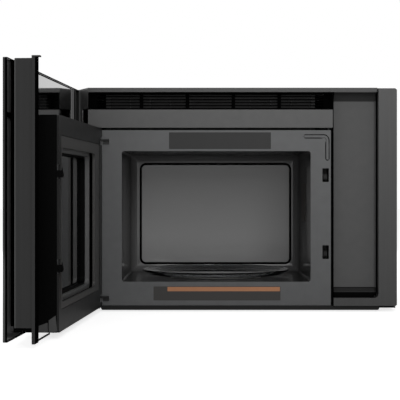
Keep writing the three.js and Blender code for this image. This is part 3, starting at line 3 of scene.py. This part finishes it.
import bpy
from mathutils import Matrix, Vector


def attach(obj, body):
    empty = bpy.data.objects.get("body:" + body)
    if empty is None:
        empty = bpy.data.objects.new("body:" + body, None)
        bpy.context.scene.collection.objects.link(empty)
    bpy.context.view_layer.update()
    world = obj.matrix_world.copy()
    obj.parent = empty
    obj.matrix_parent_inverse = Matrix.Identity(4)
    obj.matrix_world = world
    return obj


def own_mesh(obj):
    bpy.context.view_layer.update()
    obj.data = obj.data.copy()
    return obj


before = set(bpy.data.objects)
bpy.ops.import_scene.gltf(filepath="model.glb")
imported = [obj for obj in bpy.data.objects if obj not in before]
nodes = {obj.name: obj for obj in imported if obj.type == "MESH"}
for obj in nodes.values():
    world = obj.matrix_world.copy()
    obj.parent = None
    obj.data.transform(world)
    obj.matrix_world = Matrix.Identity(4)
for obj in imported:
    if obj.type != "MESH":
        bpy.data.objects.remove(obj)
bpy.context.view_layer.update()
scene = bpy.context.scene

# ---------------------------------------------------------------- places, in millimetres

MM = 0.001
WIDTH, DEPTH, HEIGHT = 759, 404, 521
HINGE_X, HINGE_Y = 64, -8
DOOR_RIGHT, DOOR_BOTTOM, DOOR_TOP = 756, 8.5, 519
DOOR_SIN, DOOR_COS = 0.9976, 0.0698  # how far the open door's width runs along -y and -x
FADE = 0.4  # how softly one tone turns into the next on the door's glass
SEAM_SHADE_FADE = 0.3
SHADE_FADE = 1
HANDLE_FADE = 0.5
EDGE_LINE = 3  # dull line round the glass's frame
HINGE_STRIP = 13  # grey strip at the glass's hinge side
HANDLE_HIGHLIGHT, HANDLE_GROOVE_SHADE = 44, 47  # painted highlight line and start of the groove's painted shade, behind the hinge's axis
FACE_SEAM_SHADES = (60, 605.8)
RECESS_SEAM_SHADES = (614.5, 712.5)
BACK_PANEL = (140.1, 537.1, 86.6, 350.2)  # the cavity's flat rear wall inside its rounded edge
BACK_CORNER = 14
BACK_SEAM_SHADE = 3  # half the width of the line of painted shade round it
CURVE_START, CURVE_END = 362, 372  # where the side walls turn into the curve
FLAT_START, FLAT_END = 380, 383  # where the curve turns into the rear wall
POCKET_RIGHT, POCKET_FRONT = 37, 1
FLOOR_Z = -3


def at(x, y, z):
    """Millimetres from the cabinet's left side, the oven's face and the underside, in the row frame."""
    return Vector(((x - WIDTH / 2) * MM, (y - DEPTH) * MM, (z - HEIGHT / 2) * MM))


HINGE = at(HINGE_X, HINGE_Y, 0)
OPEN = math.radians(-94)


def on_door(x, y, z):
    """A point of the shut door, where it is with the door open."""
    p = at(x, y, z) - HINGE
    c, s = math.cos(OPEN), math.sin(OPEN)
    return Vector((HINGE.x + c * p.x - s * p.y, HINGE.y + s * p.x + c * p.y, at(0, 0, z).z))


# ---------------------------------------------------------------- materials

def grey(value, warmth=0.0):
    """A linear colour from an sRGB grey of 0 to 255."""
    def linear(v):
        v = max(v, 0) / 255
        return v / 12.92 if v <= 0.04045 else ((v + 0.055) / 1.055) ** 2.4
    return (linear(value + warmth), linear(value), linear(value - warmth), 1)


GRAIN = 900
GRAIN_HEIGHT = 0.0004
COAT_ROUGHNESS = 0.08


def surface(name, colour, roughness, metallic=0.0, spread=0.06, scale=40, bump=0.0,
            stretch=(1, 1, 1), specular=0.5, coat=0.0):
    """A finish whose colour and roughness drift a little, with an optional fine grain."""
    material = bpy.data.materials.new(name)
    material.use_nodes = True
    tree = material.node_tree
    shader = tree.nodes["Principled BSDF"]
    link = tree.links.new
    place = tree.nodes.new("ShaderNodeTexCoord")
    mapping = tree.nodes.new("ShaderNodeMapping")
    mapping.inputs["Scale"].default_value = stretch
    link(place.outputs["Object"], mapping.inputs["Vector"])
    drift = tree.nodes.new("ShaderNodeTexNoise")
    drift.inputs["Scale"].default_value = scale
    drift.inputs["Detail"].default_value = 3
    link(mapping.outputs["Vector"], drift.inputs["Vector"])
    ramp = tree.nodes.new("ShaderNodeValToRGB")
    for element, sign, position in zip(ramp.color_ramp.elements, (-1, 1), (0.3, 0.7)):
        element.position = position
        element.color = tuple(min(1, c * (1 + sign * spread)) for c in colour[:3]) + (1,)
    link(drift.outputs["Fac"], ramp.inputs["Fac"])
    link(ramp.outputs["Color"], shader.inputs["Base Color"])
    rough = tree.nodes.new("ShaderNodeMapRange")
    rough.inputs["To Min"].default_value = roughness * 0.92
    rough.inputs["To Max"].default_value = min(1, roughness * 1.08)
    link(drift.outputs["Fac"], rough.inputs["Value"])
    link(rough.outputs["Result"], shader.inputs["Roughness"])
    shader.inputs["Metallic"].default_value = metallic
    shader.inputs["Specular IOR Level"].default_value = specular
    shader.inputs["Coat Weight"].default_value = coat
    shader.inputs["Coat Roughness"].default_value = COAT_ROUGHNESS
    if bump:
        fine = tree.nodes.new("ShaderNodeTexNoise")
        fine.inputs["Scale"].default_value = GRAIN
        link(mapping.outputs["Vector"], fine.inputs["Vector"])
        relief = tree.nodes.new("ShaderNodeBump")
        relief.inputs["Strength"].default_value = bump
        relief.inputs["Distance"].default_value = GRAIN_HEIGHT
        link(fine.outputs["Fac"], relief.inputs["Height"])
        link(relief.outputs["Normal"], shader.inputs["Normal"])
    return material


def clear(name, colour, roughness=0.02):
    """Clear glass with faint streaks in its roughness."""
    material = surface(name, colour, roughness, spread=0.01)
    shader = material.node_tree.nodes["Principled BSDF"]
    shader.inputs["Transmission Weight"].default_value = 1
    shader.inputs["IOR"].default_value = 1.46
    return material


class Maths:
    """Small arithmetic on a node tree: every call adds a node or two and gives the output."""

    def __init__(self, material):
        self.tree = material.node_tree
        self.shader = self.tree.nodes["Principled BSDF"]
        self.place = self.tree.nodes.new("ShaderNodeTexCoord")

    def split(self, output):
        """The x, y and z of the Object or the Normal output."""
        node = self.tree.nodes.new("ShaderNodeSeparateXYZ")
        self.tree.links.new(self.place.outputs[output], node.inputs[0])
        return node.outputs["X"], node.outputs["Y"], node.outputs["Z"]

    def do(self, operation, *values):
        node = self.tree.nodes.new("ShaderNodeMath")
        node.operation = operation
        for socket, value in zip(node.inputs, values):
            if isinstance(value, (int, float)):
                socket.default_value = value
            else:
                self.tree.links.new(value, socket)
        return node.outputs[0]

    def ramp(self, value, low, high):
        """From 0 at low to 1 at high, and held beyond them; low may be the larger."""
        node = self.tree.nodes.new("ShaderNodeMapRange")
        node.inputs["From Min"].default_value = low
        node.inputs["From Max"].default_value = high
        self.tree.links.new(value, node.inputs["Value"])
        return node.outputs["Result"]

    def tint(self, mask, colour):
        """Lays a colour over the base colour where the mask is 1."""
        node = self.tree.nodes.new("ShaderNodeMix")
        node.data_type = "RGBA"
        base = self.shader.inputs["Base Color"]
        self.tree.links.new(base.links[0].from_socket, node.inputs["A"])
        self.tree.links.new(mask, node.inputs["Factor"])
        node.inputs["B"].default_value = colour
        self.tree.links.new(node.outputs["Result"], base)

    def dull(self, mask, inputs=("Specular IOR Level",)):
        """Takes the reflection away where the mask is 1."""
        for name in inputs:
            socket = self.shader.inputs[name]
            before = socket.links[0].from_socket if socket.links else socket.default_value
            shine = self.do("MULTIPLY", before, self.do("SUBTRACT", 1, mask))
            self.tree.links.new(shine, socket)


ALL_SHINE = ("Specular IOR Level", "Coat Weight")


def shade_sideways(material, colour):
    """Faces that look sideways along X are painted darker, as shade."""
    maths = Maths(material)
    sideways = maths.do("ABSOLUTE", maths.split("Normal")[0])
    mask = maths.ramp(sideways, 0.6, 0.8)
    maths.tint(mask, colour)
    maths.dull(mask)
    return material


def edge_highlight_groove_shade(material, light, dark):
    """The handle's web ends in a painted highlight line, and the groove behind it is painted dark as
    shade.
    """
    maths = Maths(material)
    x, y = maths.split("Object")[:2]
    behind = maths.do(
        "SUBTRACT", maths.do("MULTIPLY", x, DOOR_SIN), maths.do("MULTIPLY", y, DOOR_COS),
    )
    axis = DOOR_SIN * HINGE.x - DOOR_COS * HINGE.y

    def beyond(distance):
        return maths.ramp(behind, axis - distance * MM, axis - (distance + HANDLE_FADE) * MM)

    maths.tint(beyond(HANDLE_HIGHLIGHT), light)
    groove_shade = beyond(HANDLE_GROOVE_SHADE)
    maths.tint(groove_shade, dark)
    maths.dull(groove_shade)
    return material


def shade_seams(material, seams, colour):
    """Painted shade in the seams outside two upright lines, in millimetres from the cabinet's left
    side.
    """
    maths = Maths(material)
    x = maths.split("Object")[0]
    before, beyond = (
        maths.ramp(x, at(seam - SEAM_SHADE_FADE, 0, 0).x, at(seam + SEAM_SHADE_FADE, 0, 0).x) for seam in seams
    )
    for mask in (beyond, maths.do("SUBTRACT", 1, before)):
        maths.tint(mask, colour)
        maths.dull(mask)
    return material


def edged_mirror(material, strip_colour):
    """Glass that ends in a dull line at the door's outer edges and a grey strip at its hinge."""
    maths = Maths(material)
    x, y, z = maths.split("Object")
    along = maths.do(
        "SUBTRACT", maths.do("MULTIPLY", x, -DOOR_COS), maths.do("MULTIPLY", y, DOOR_SIN),
    )
    axis = -DOOR_COS * HINGE.x - DOOR_SIN * HINGE.y
    edge = axis + (DOOR_RIGHT - HINGE_X - EDGE_LINE) * MM
    top, bottom = DOOR_TOP - EDGE_LINE, DOOR_BOTTOM + EDGE_LINE
    above = maths.ramp(z, at(0, 0, top).z, at(0, 0, top + FADE).z)
    below = maths.ramp(z, at(0, 0, bottom).z, at(0, 0, bottom - FADE).z)
    beyond = maths.ramp(along, edge, edge + FADE * MM)
    line = maths.do("MAXIMUM", maths.do("MAXIMUM", above, below), beyond)
    strip = maths.ramp(
        along, edge - (DOOR_RIGHT - HINGE_STRIP - 1) * MM, edge - (DOOR_RIGHT - HINGE_STRIP) * MM,
    )
    maths.tint(strip, strip_colour)
    maths.dull(maths.do("MAXIMUM", line, strip), ALL_SHINE)
    return material


def shade_and_highlight_bands(material, shades):
    """Bands across the height with painted shade or a painted highlight: lowest z, highest z, colour.
    """
    maths = Maths(material)
    z = maths.split("Object")[2]
    for low, high, colour in shades:
        above, below = (
            maths.ramp(z, at(0, 0, end - SHADE_FADE).z, at(0, 0, end + SHADE_FADE).z)
            for end in (low, high)
        )
        band = maths.do("SUBTRACT", above, below)
        maths.tint(band, colour)
        maths.dull(band)
    return material


def cavity_light_and_shade(walls, curve, back, seam):
    """One enamel painted with light and shade: darker side walls, a lighter grey curve round the rear
    and a still lighter rear wall with a line of painted shade round it.
    """
    material = surface("cavity_enamel", walls, 0.4, bump=0.03, specular=0.25, coat=0.6)
    maths = Maths(material)
    x, y, z = maths.split("Object")
    x0, x1, z0, z1 = BACK_PANEL
    low, high = at(x0, 0, z0), at(x1, 0, z1)
    corner = BACK_CORNER * MM
    # distance from the rear wall's rounded outline, above 0 outside it
    beyond = []
    for value, lowest, highest in ((x, low.x, high.x), (z, low.z, high.z)):
        middle, half = (lowest + highest) / 2, (highest - lowest) / 2
        offset = maths.do("ABSOLUTE", maths.do("SUBTRACT", value, middle))
        beyond.append(maths.do("SUBTRACT", offset, half - corner))
    outside = [maths.do("MAXIMUM", value, 0) for value in beyond]
    squares = [maths.do("MULTIPLY", value, value) for value in outside]
    length = maths.do("SQRT", maths.do("ADD", *squares))
    within = maths.do("MINIMUM", maths.do("MAXIMUM", *beyond), 0)
    distance = maths.do("SUBTRACT", maths.do("ADD", length, within), corner)

    # the curve and the rear wall are painted lighter as light; a line of painted shade runs round the
    # rear wall
    rear = maths.ramp(y, at(0, CURVE_START, 0).y, at(0, CURVE_END, 0).y)
    maths.tint(rear, curve)
    inside = maths.ramp(
        maths.do("MULTIPLY", distance, -1), BACK_SEAM_SHADE * MM / 2, BACK_SEAM_SHADE * MM,
    )
    flat = maths.ramp(y, at(0, FLAT_START, 0).y, at(0, FLAT_END, 0).y)
    maths.tint(maths.do("MULTIPLY", flat, inside), back)
    near = maths.ramp(
        maths.do("MULTIPLY", maths.do("ABSOLUTE", distance), -1),
        -BACK_SEAM_SHADE * MM * 1.2, -BACK_SEAM_SHADE * MM * 0.8,
    )
    line = maths.do("MULTIPLY", rear, near)
    maths.tint(line, seam)
    maths.dull(line, ALL_SHINE)
    return material


def shade_inside(material, colour):
    """The side that looks into the cabinet is painted dark as shade, with no shine."""
    maths = Maths(material)
    inward = maths.do("MULTIPLY", maths.split("Normal")[1], -1)
    mask = maths.ramp(inward, 0.5, 0.9)
    maths.tint(mask, colour)
    maths.dull(mask)
    return material


def pocket_light(material, colour):
    """The pocket's wall that is cut for the door's hinge side is painted lighter, as light falling on
    it.
    """
    maths = Maths(material)
    x, y = maths.split("Object")[:2]
    facing = maths.ramp(maths.do("MULTIPLY", maths.split("Normal")[1], -1), 0.2, 0.3)
    beside = maths.ramp(x, at(POCKET_RIGHT + 1, 0, 0).x, at(POCKET_RIGHT, 0, 0).x)
    behind = maths.ramp(y, at(0, POCKET_FRONT, 0).y, at(0, POCKET_FRONT + 1, 0).y)
    maths.tint(maths.do("MULTIPLY", facing, maths.do("MULTIPLY", beside, behind)), colour)
    return material


# painted shade at the bottom and top of the recess, with a painted highlight line between the bottom's
# dark bands
RECESS_SHADE_AND_HIGHLIGHT_BANDS = [(0, 41, grey(14)), (41, 48.5, grey(52)), (48.5, 52, grey(22)), (490, 521, grey(56))]

FINISHES = {
    "paint": surface("satin_grey_paint", grey(84), 0.42, metallic=0.3, bump=0.05),
    # shell: the pocket's front-facing wall painted lighter, as light
    "shell": pocket_light(surface("cabinet_paint", grey(74), 0.42, metallic=0.3, bump=0.05), grey(108)),
    # face: painted shade in the seams at both its sides
    "face": shade_seams(surface("oven_face_enamel", grey(92, -1), 0.38, bump=0.04), FACE_SEAM_SHADES, grey(4)),
    "bead": surface("bead_enamel", grey(90, -1), 0.38, bump=0.04),
    "shade": surface("shaded_metal", grey(6), 0.7, specular=0.0),
    # rear: its inside painted dark as shade
    "rear": shade_inside(
        surface("rear_steel", grey(120), 0.4, metallic=0.6, spread=0.08, scale=90), grey(6),
    ),
    "edged": edged_mirror(
        surface("edged_glass", grey(2), 0.02, spread=0.02, specular=1.0, coat=1.0), grey(44),
    ),
    # liner: side walls darker, the rear curve and rear wall lighter, as painted light and shade
    "liner": cavity_light_and_shade(grey(20), grey(110), grey(156), grey(0)),
    "post": surface(
        "dark_stainless", grey(72), 0.36, metallic=0.4, stretch=(1, 1, 0.02), scale=300, spread=0.05,
    ),
    # scoop: painted shade and highlight bands at its ends, and painted shade in its seams
    "scoop": shade_seams(
        shade_and_highlight_bands(surface("recess_paint", grey(80), 0.5, bump=0.05), RECESS_SHADE_AND_HIGHLIGHT_BANDS),
        RECESS_SEAM_SHADES, grey(1),
    ),
    "black": surface("black_plastic", grey(10), 0.45, bump=0.15, specular=0.3),
    "vent": surface("vent_plastic", grey(8), 0.7, bump=0.1, specular=0.0),
    # border: a printed border, lightened to paint in the sheen its edge catches
    "border": surface("glass_border_print_and_sheen", grey(108), 0.9, spread=0.03, specular=0.0),
    "door_black": surface("door_plastic", grey(1), 0.5, bump=0.1, specular=0.08),
    "bracket": surface("bracket_plastic", grey(84), 0.5, specular=0.2),
    "cover": surface("cover_plastic", grey(34), 0.4, bump=0.06, specular=0.3),
    "inner": surface("inner_panel_paint", grey(70, 1), 0.38, bump=0.04),
    "bezel": surface("bezel_paint", grey(104), 0.35, bump=0.04),
    # handle: sideways faces in painted shade, a painted highlight line on the web's edge and painted
    # shade in the groove
    "handle": edge_highlight_groove_shade(shade_sideways(surface(
        "handle_metal", grey(50), 0.4, stretch=(1, 1, 0.02), scale=300, specular=0.15,
    ), grey(6)), grey(92), grey(2)),
    "mirror_black": surface("black_glass", grey(2), 0.02, spread=0.02, specular=1.0, coat=1.0),
    "window": surface("window_glass", grey(4), 0.04, spread=0.02, specular=0.9),
    "clear": clear("clear_glass", grey(215, -2)),
    "lens": clear("lens_glass", grey(235), 0.2),
    "zinc": surface("zinc_steel", grey(160), 0.4, metallic=0.9, spread=0.1, scale=90),
    "arm": surface("hinge_arm_paint", grey(14), 0.4, metallic=0.2),
    "aluminium": surface(
        "plain_aluminium", grey(185), 0.38, metallic=0.9, stretch=(1, 0.05, 1), scale=200,
    ),
    "copper": surface(
        "lacquered_winding", grey(110, 50), 0.35, metallic=0.6, stretch=(1, 1, 30), scale=60, bump=0.3,
    ),
    "light": surface("natural_plastic", grey(205, 4), 0.5, bump=0.05),
    "board": surface("circuit_board", (0.02, 0.1, 0.04, 1), 0.5, scale=120, spread=0.2),
    "mica": surface("mica_sheet", grey(58, 6), 0.6, scale=25, spread=0.12, bump=0.1),
    "label": surface("label_film", grey(30), 0.5, spread=0.03),
    "caution": surface("caution_film", grey(52, 2), 0.5, spread=0.03),
    "tan": surface("tan_band", (0.51, 0.22, 0.1, 1), 0.5, spread=0.03),
}

# ---------------------------------------------------------------- what the solids wear

WEARS = {
    "paint": ["base_pan", "upper_front_panel"],
    "shell": ["outer_cabinet"],
    "rear": ["rear_panel"],
    "edged": ["glass_frame"],
    "face": ["oven_face_plate"],
    "liner": ["cavity_liner"],
    "post": ["right_post"],
    "scoop": ["recess_panel"],
    "black": ["bottom_rail", "charcoal_filter", "blower_wheel_left", "blower_wheel_right", "fan_shroud",
              "cooling_fan", "door_switch_upper", "door_switch_lower",
              "switch_plunger_upper", "switch_plunger_lower"],
    "vent": ["vent_louver"],
    "door_black": ["door_chassis", "window_screen", "control_housing", "latch_slide", "latch_guide"],
    "cover": ["choke_cover", "latch_board"],
    "inner": ["door_inner_panel"],
    "bezel": ["window_bezel"],
    "handle": ["handle_channel"],
    "mirror_black": ["door_glass"],
    "window": ["inner_window"],
    "clear": ["turntable_tray"],
    "lens": ["cooktop_lamp_lens_left", "cooktop_lamp_lens_right"],
    "arm": ["hinge_bracket_upper", "hinge_bracket_lower"],
    "zinc": ["turntable_motor", "blower_deck", "blower_housing_left", "blower_housing_right",
             "blower_motor", "blower_shaft", "magnetron", "latch_spring", "hinge_pin_upper",
             "hinge_pin_lower"],
    "aluminium": ["grease_filter_left", "grease_filter_right", "waveguide", "capacitor"],
    "copper": ["transformer"],
    "light": ["cooktop_lamp_left", "cooktop_lamp_right", "roller_ring", "turntable_coupler",
              "cavity_lamp"],
    "board": ["power_board", "touch_board"],
    "mica": ["waveguide_cover"],
}

SOFT_EDGE = {  # width of the rounded edges, mm
    "outer_cabinet": 0.5, "upper_front_panel": 0.5, "oven_face_plate": 0.4, "right_post": 1.2,
    "recess_panel": 0.6, "bottom_rail": 1.0, "door_inner_panel": 0.8, "door_chassis": 0.5,
    "handle_channel": 0.5, "door_glass": 0.6, "vent_louver": 0.4,
}
SHARP = math.radians(40)  # edges that turn by less stay as they are

for finish_name, wearers in WEARS.items():
    for wearer in wearers:
        mesh = nodes[wearer].data
        mesh.materials.clear()
        mesh.materials.append(FINISHES[finish_name])
for name, width in SOFT_EDGE.items():
    bevel = nodes[name].modifiers.new("soft_edge", "BEVEL")
    bevel.width = width * MM
    bevel.segments = 2
    bevel.limit_method = "ANGLE"
    bevel.angle_limit = SHARP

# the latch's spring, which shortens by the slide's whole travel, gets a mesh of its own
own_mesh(nodes["latch_spring"])

# ---------------------------------------------------------------- pieces that only the scene has

PLACES = {"cabinet": at, "door": on_door}


def new_piece(name, points, faces, finishes, rides):
    """A mesh of its own that rides on a body and wears the given finishes."""
    mesh = bpy.data.meshes.new(name)
    mesh.from_pydata(points, [], faces)
    for finish in finishes:
        mesh.materials.append(FINISHES[finish])
    piece = bpy.data.objects.new(name, mesh)
    scene.collection.objects.link(piece)
    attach(piece, rides)
    return piece


def prism(count):
    """Faces of a closed prism whose first ring of points is followed by its second."""
    sides = [(i, (i + 1) % count, (i + 1) % count + count, i + count) for i in range(count)]
    return sides + [tuple(range(count - 1, -1, -1)), tuple(range(count, 2 * count))]


def bead(name, path, half, slope, height, rides):
    """A raised bead with round ends: a flat crown between two sloping sides in painted shade."""
    places = []
    for index, (x, z) in enumerate(path):
        before, after = path[max(index - 1, 0)], path[min(index + 1, len(path) - 1)]
        dx, dz = after[0] - before[0], after[1] - before[1]
        length = math.hypot(dx, dz)
        places.append((x, z, math.atan2(dx / length, -dz / length)))
    (x0, z0, turn0), (x1, z1, turn1) = places[0], places[-1]
    ends = [math.radians(step) for step in (45, 90, 135)]
    outline = list(places)
    outline += [(x1, z1, turn1 - step) for step in ends]
    outline += [(x, z, turn + math.pi) for x, z, turn in reversed(places)]
    outline += [(x0, z0, turn0 + math.pi - step) for step in ends]

    def ring(distance, y):
        return [at(x + distance * math.cos(turn), y, z + distance * math.sin(turn))
                for x, z, turn in outline]

    low, high = ring(half, 0), ring(half - slope, -height)
    piece = new_piece(name, low + high, prism(len(low)), ["shade", "bead"], rides)
    piece.data.polygons[len(low) + 1].material_index = 1


def wall_plate(name, outline, x0, x1):
    """A thin plate on the chassis' free side: y and z of its corners, standing out from x0 to x1."""
    points = [on_door(x, y, z) for x in (x0, x1) for y, z in outline]
    new_piece(name, points, prism(len(outline)), ["bracket"], "door")


def plate(name, finish, rides, x_range, z_range, y_range, corner):
    """A thin plate with rounded corners that stands across the front."""
    (x0, x1), (z0, z1), (y0, y1) = x_range, z_range, y_range
    ring = []
    for cx, cz, start in ((x1 - corner, z0 + corner, -90), (x1 - corner, z1 - corner, 0),
                          (x0 + corner, z1 - corner, 90), (x0 + corner, z0 + corner, 180)):
        for step in range(5):
            angle = math.radians(start + step * 22.5)
            ring.append((cx + corner * math.cos(angle), cz + corner * math.sin(angle)))
    points = [PLACES[rides](x, y, z) for y in (y1, y0) for x, z in ring]
    new_piece(name, points, prism(len(ring)), [finish], rides)


BEAD_RIGHT, BEAD_TOP, BEAD_BEND, BEAD_ARM = 597.7, 406.9, 9, 52
BEAD_HALF, BEAD_SLOPE, BEAD_HEIGHT = 5.0, 2.3, 1.6
bead("face_bead", [
    *[(BEAD_RIGHT, BEAD_TOP - down) for down in (BEAD_ARM, 40, 25)],
    *[(BEAD_RIGHT - BEAD_BEND + BEAD_BEND * math.cos(math.radians(turn)),
       BEAD_TOP - BEAD_BEND + BEAD_BEND * math.sin(math.radians(turn))) for turn in range(0, 91, 15)],
    *[(BEAD_RIGHT - left, BEAD_TOP) for left in (30, BEAD_ARM)],
], BEAD_HALF, BEAD_SLOPE, BEAD_HEIGHT, "cabinet")

# the trim at the door's lower corner
BRACKET_OUTLINE = [(-21.6, 32.6), (-8.6, 41.8), (-5.4, 12.1), (-12.3, 8.8), (-21.6, 9.9)]
TAB_OUTLINE = [(-43.2, 21.3), (-23.9, 28.2), (-23.5, 10.4), (-31.6, 9.2), (-40.8, 9.1)]
wall_plate("corner_bracket", BRACKET_OUTLINE, 600.2, 602.2)
wall_plate("corner_tab", TAB_OUTLINE, 600.2, 601.8)

for row in (  # name, finish, body, x, z and y from and to, corner's radius
    ("bottom_lip", "door_black", "door", (600.5, 738), (6.0, 9.2), (-21, -19.5), 0.3),
    # rear_flange and recess_flange are dark sheets of painted shade, in the slit under the roof and in
    # the seam
    ("rear_flange", "shade", "cabinet", (3, 756), (508, 519.75), (401.8, 402.6), 0.5),
    ("recess_flange", "shade", "cabinet", (606.8, 611.6), (12, 426), (2.2, 3.0), 0.5),
    ("glass_border", "border", "door", (690, 747), (DOOR_BOTTOM, DOOR_TOP), (-69.95, -69.7), 1),
    ("rating_label", "label", "cabinet", (226.3, 465.3), (377.2, 416.3), (-0.3, 0), 1.0),
    ("caution_label", "caution", "cabinet", (190, 487.6), (22.3, 55.1), (-0.3, 0), 1.5),
    ("caution_band", "tan", "cabinet", (222.8, 486.4), (43.8, 53.9), (-0.4, -0.3), 0.5),
):
    plate(*row)

# ---------------------------------------------------------------- stage, camera and lights

FLOOR_SIZE = 30
FLOOR_GLOW = 0.75  # for the camera only, so that the floor looks white
ROOM_STRENGTH = 0.24  # the room's light on the part; the camera sees plain white behind it

floor_finish = surface("floor_paint", grey(235), 0.9, spread=0.01, specular=0.1)
glow = floor_finish.node_tree.nodes["Principled BSDF"].inputs
glow["Emission Color"].default_value = (1, 1, 1, 1)
floor_nodes, floor_links = floor_finish.node_tree.nodes, floor_finish.node_tree.links
seen = floor_nodes.new("ShaderNodeLightPath")
lift = floor_nodes.new("ShaderNodeMath")
lift.operation = "MULTIPLY"
lift.inputs[1].default_value = FLOOR_GLOW
floor_links.new(seen.outputs["Is Camera Ray"], lift.inputs[0])
floor_links.new(lift.outputs[0], glow["Emission Strength"])
bpy.ops.mesh.primitive_plane_add(size=FLOOR_SIZE, location=(0, 0, at(0, 0, FLOOR_Z).z))
floor = bpy.context.object
floor.name = "floor"
floor.data.materials.append(floor_finish)

world = bpy.data.worlds.new("studio")
scene.world = world
world.use_nodes = True
tree = world.node_tree
tree.nodes.clear()
path = tree.nodes.new("ShaderNodeLightPath")
mix = tree.nodes.new("ShaderNodeMixShader")
output = tree.nodes.new("ShaderNodeOutputWorld")
tree.links.new(path.outputs["Is Camera Ray"], mix.inputs["Fac"])
for socket, colour, strength in ((1, grey(250), ROOM_STRENGTH), (2, (1, 1, 1, 1), 1)):
    background = tree.nodes.new("ShaderNodeBackground")
    background.inputs["Color"].default_value = colour
    background.inputs["Strength"].default_value = strength
    tree.links.new(background.outputs["Background"], mix.inputs[socket])
tree.links.new(mix.outputs["Shader"], output.inputs["Surface"])


def lamp(name, location, target, size, power):
    """A rectangular lamp that faces its target; metres and watts."""
    data = bpy.data.lights.new(name, "AREA")
    data.shape = "RECTANGLE"
    data.size, data.size_y = size
    data.energy = power
    light = bpy.data.objects.new(name, data)
    scene.collection.objects.link(light)
    light.location = location
    light.rotation_euler = (Vector(target) - Vector(location)).to_track_quat("-Z", "Y").to_euler()


lamp("key", (0.5, -3.9, 1.3), (0, -0.2, 0), (1.8, 1.4), 28)
lamp("front", (0.0, -3.9, 0.15), (0.05, -0.2, 0.05), (2.4, 1.2), 9)
lamp("fill", (-2.6, -2.4, 1.2), (0, -0.4, 0), (2.0, 2.0), 20)
lamp("top", (0, -0.9, 2.6), (0, -0.5, 0), (2.4, 1.8), 12)
lamp("backdrop", (-0.3, 2.4, 0.8), (-0.3, 0, 0.8), (5, 3), 34)

# level with the oven and square to its face; the shift puts it where the photo has it
camera_data = bpy.data.cameras.new("camera")
camera = bpy.data.objects.new("camera", camera_data)
scene.collection.objects.link(camera)
scene.camera = camera
camera.location = (-0.0688, -3.304, 0.0209)
camera.rotation_euler = (math.pi / 2, 0, 0)
camera_data.lens = 111.3
camera_data.sensor_width = 36
camera_data.shift_x = -0.0125
camera_data.shift_y = -0.02525
scene.view_settings.view_transform = "Standard"
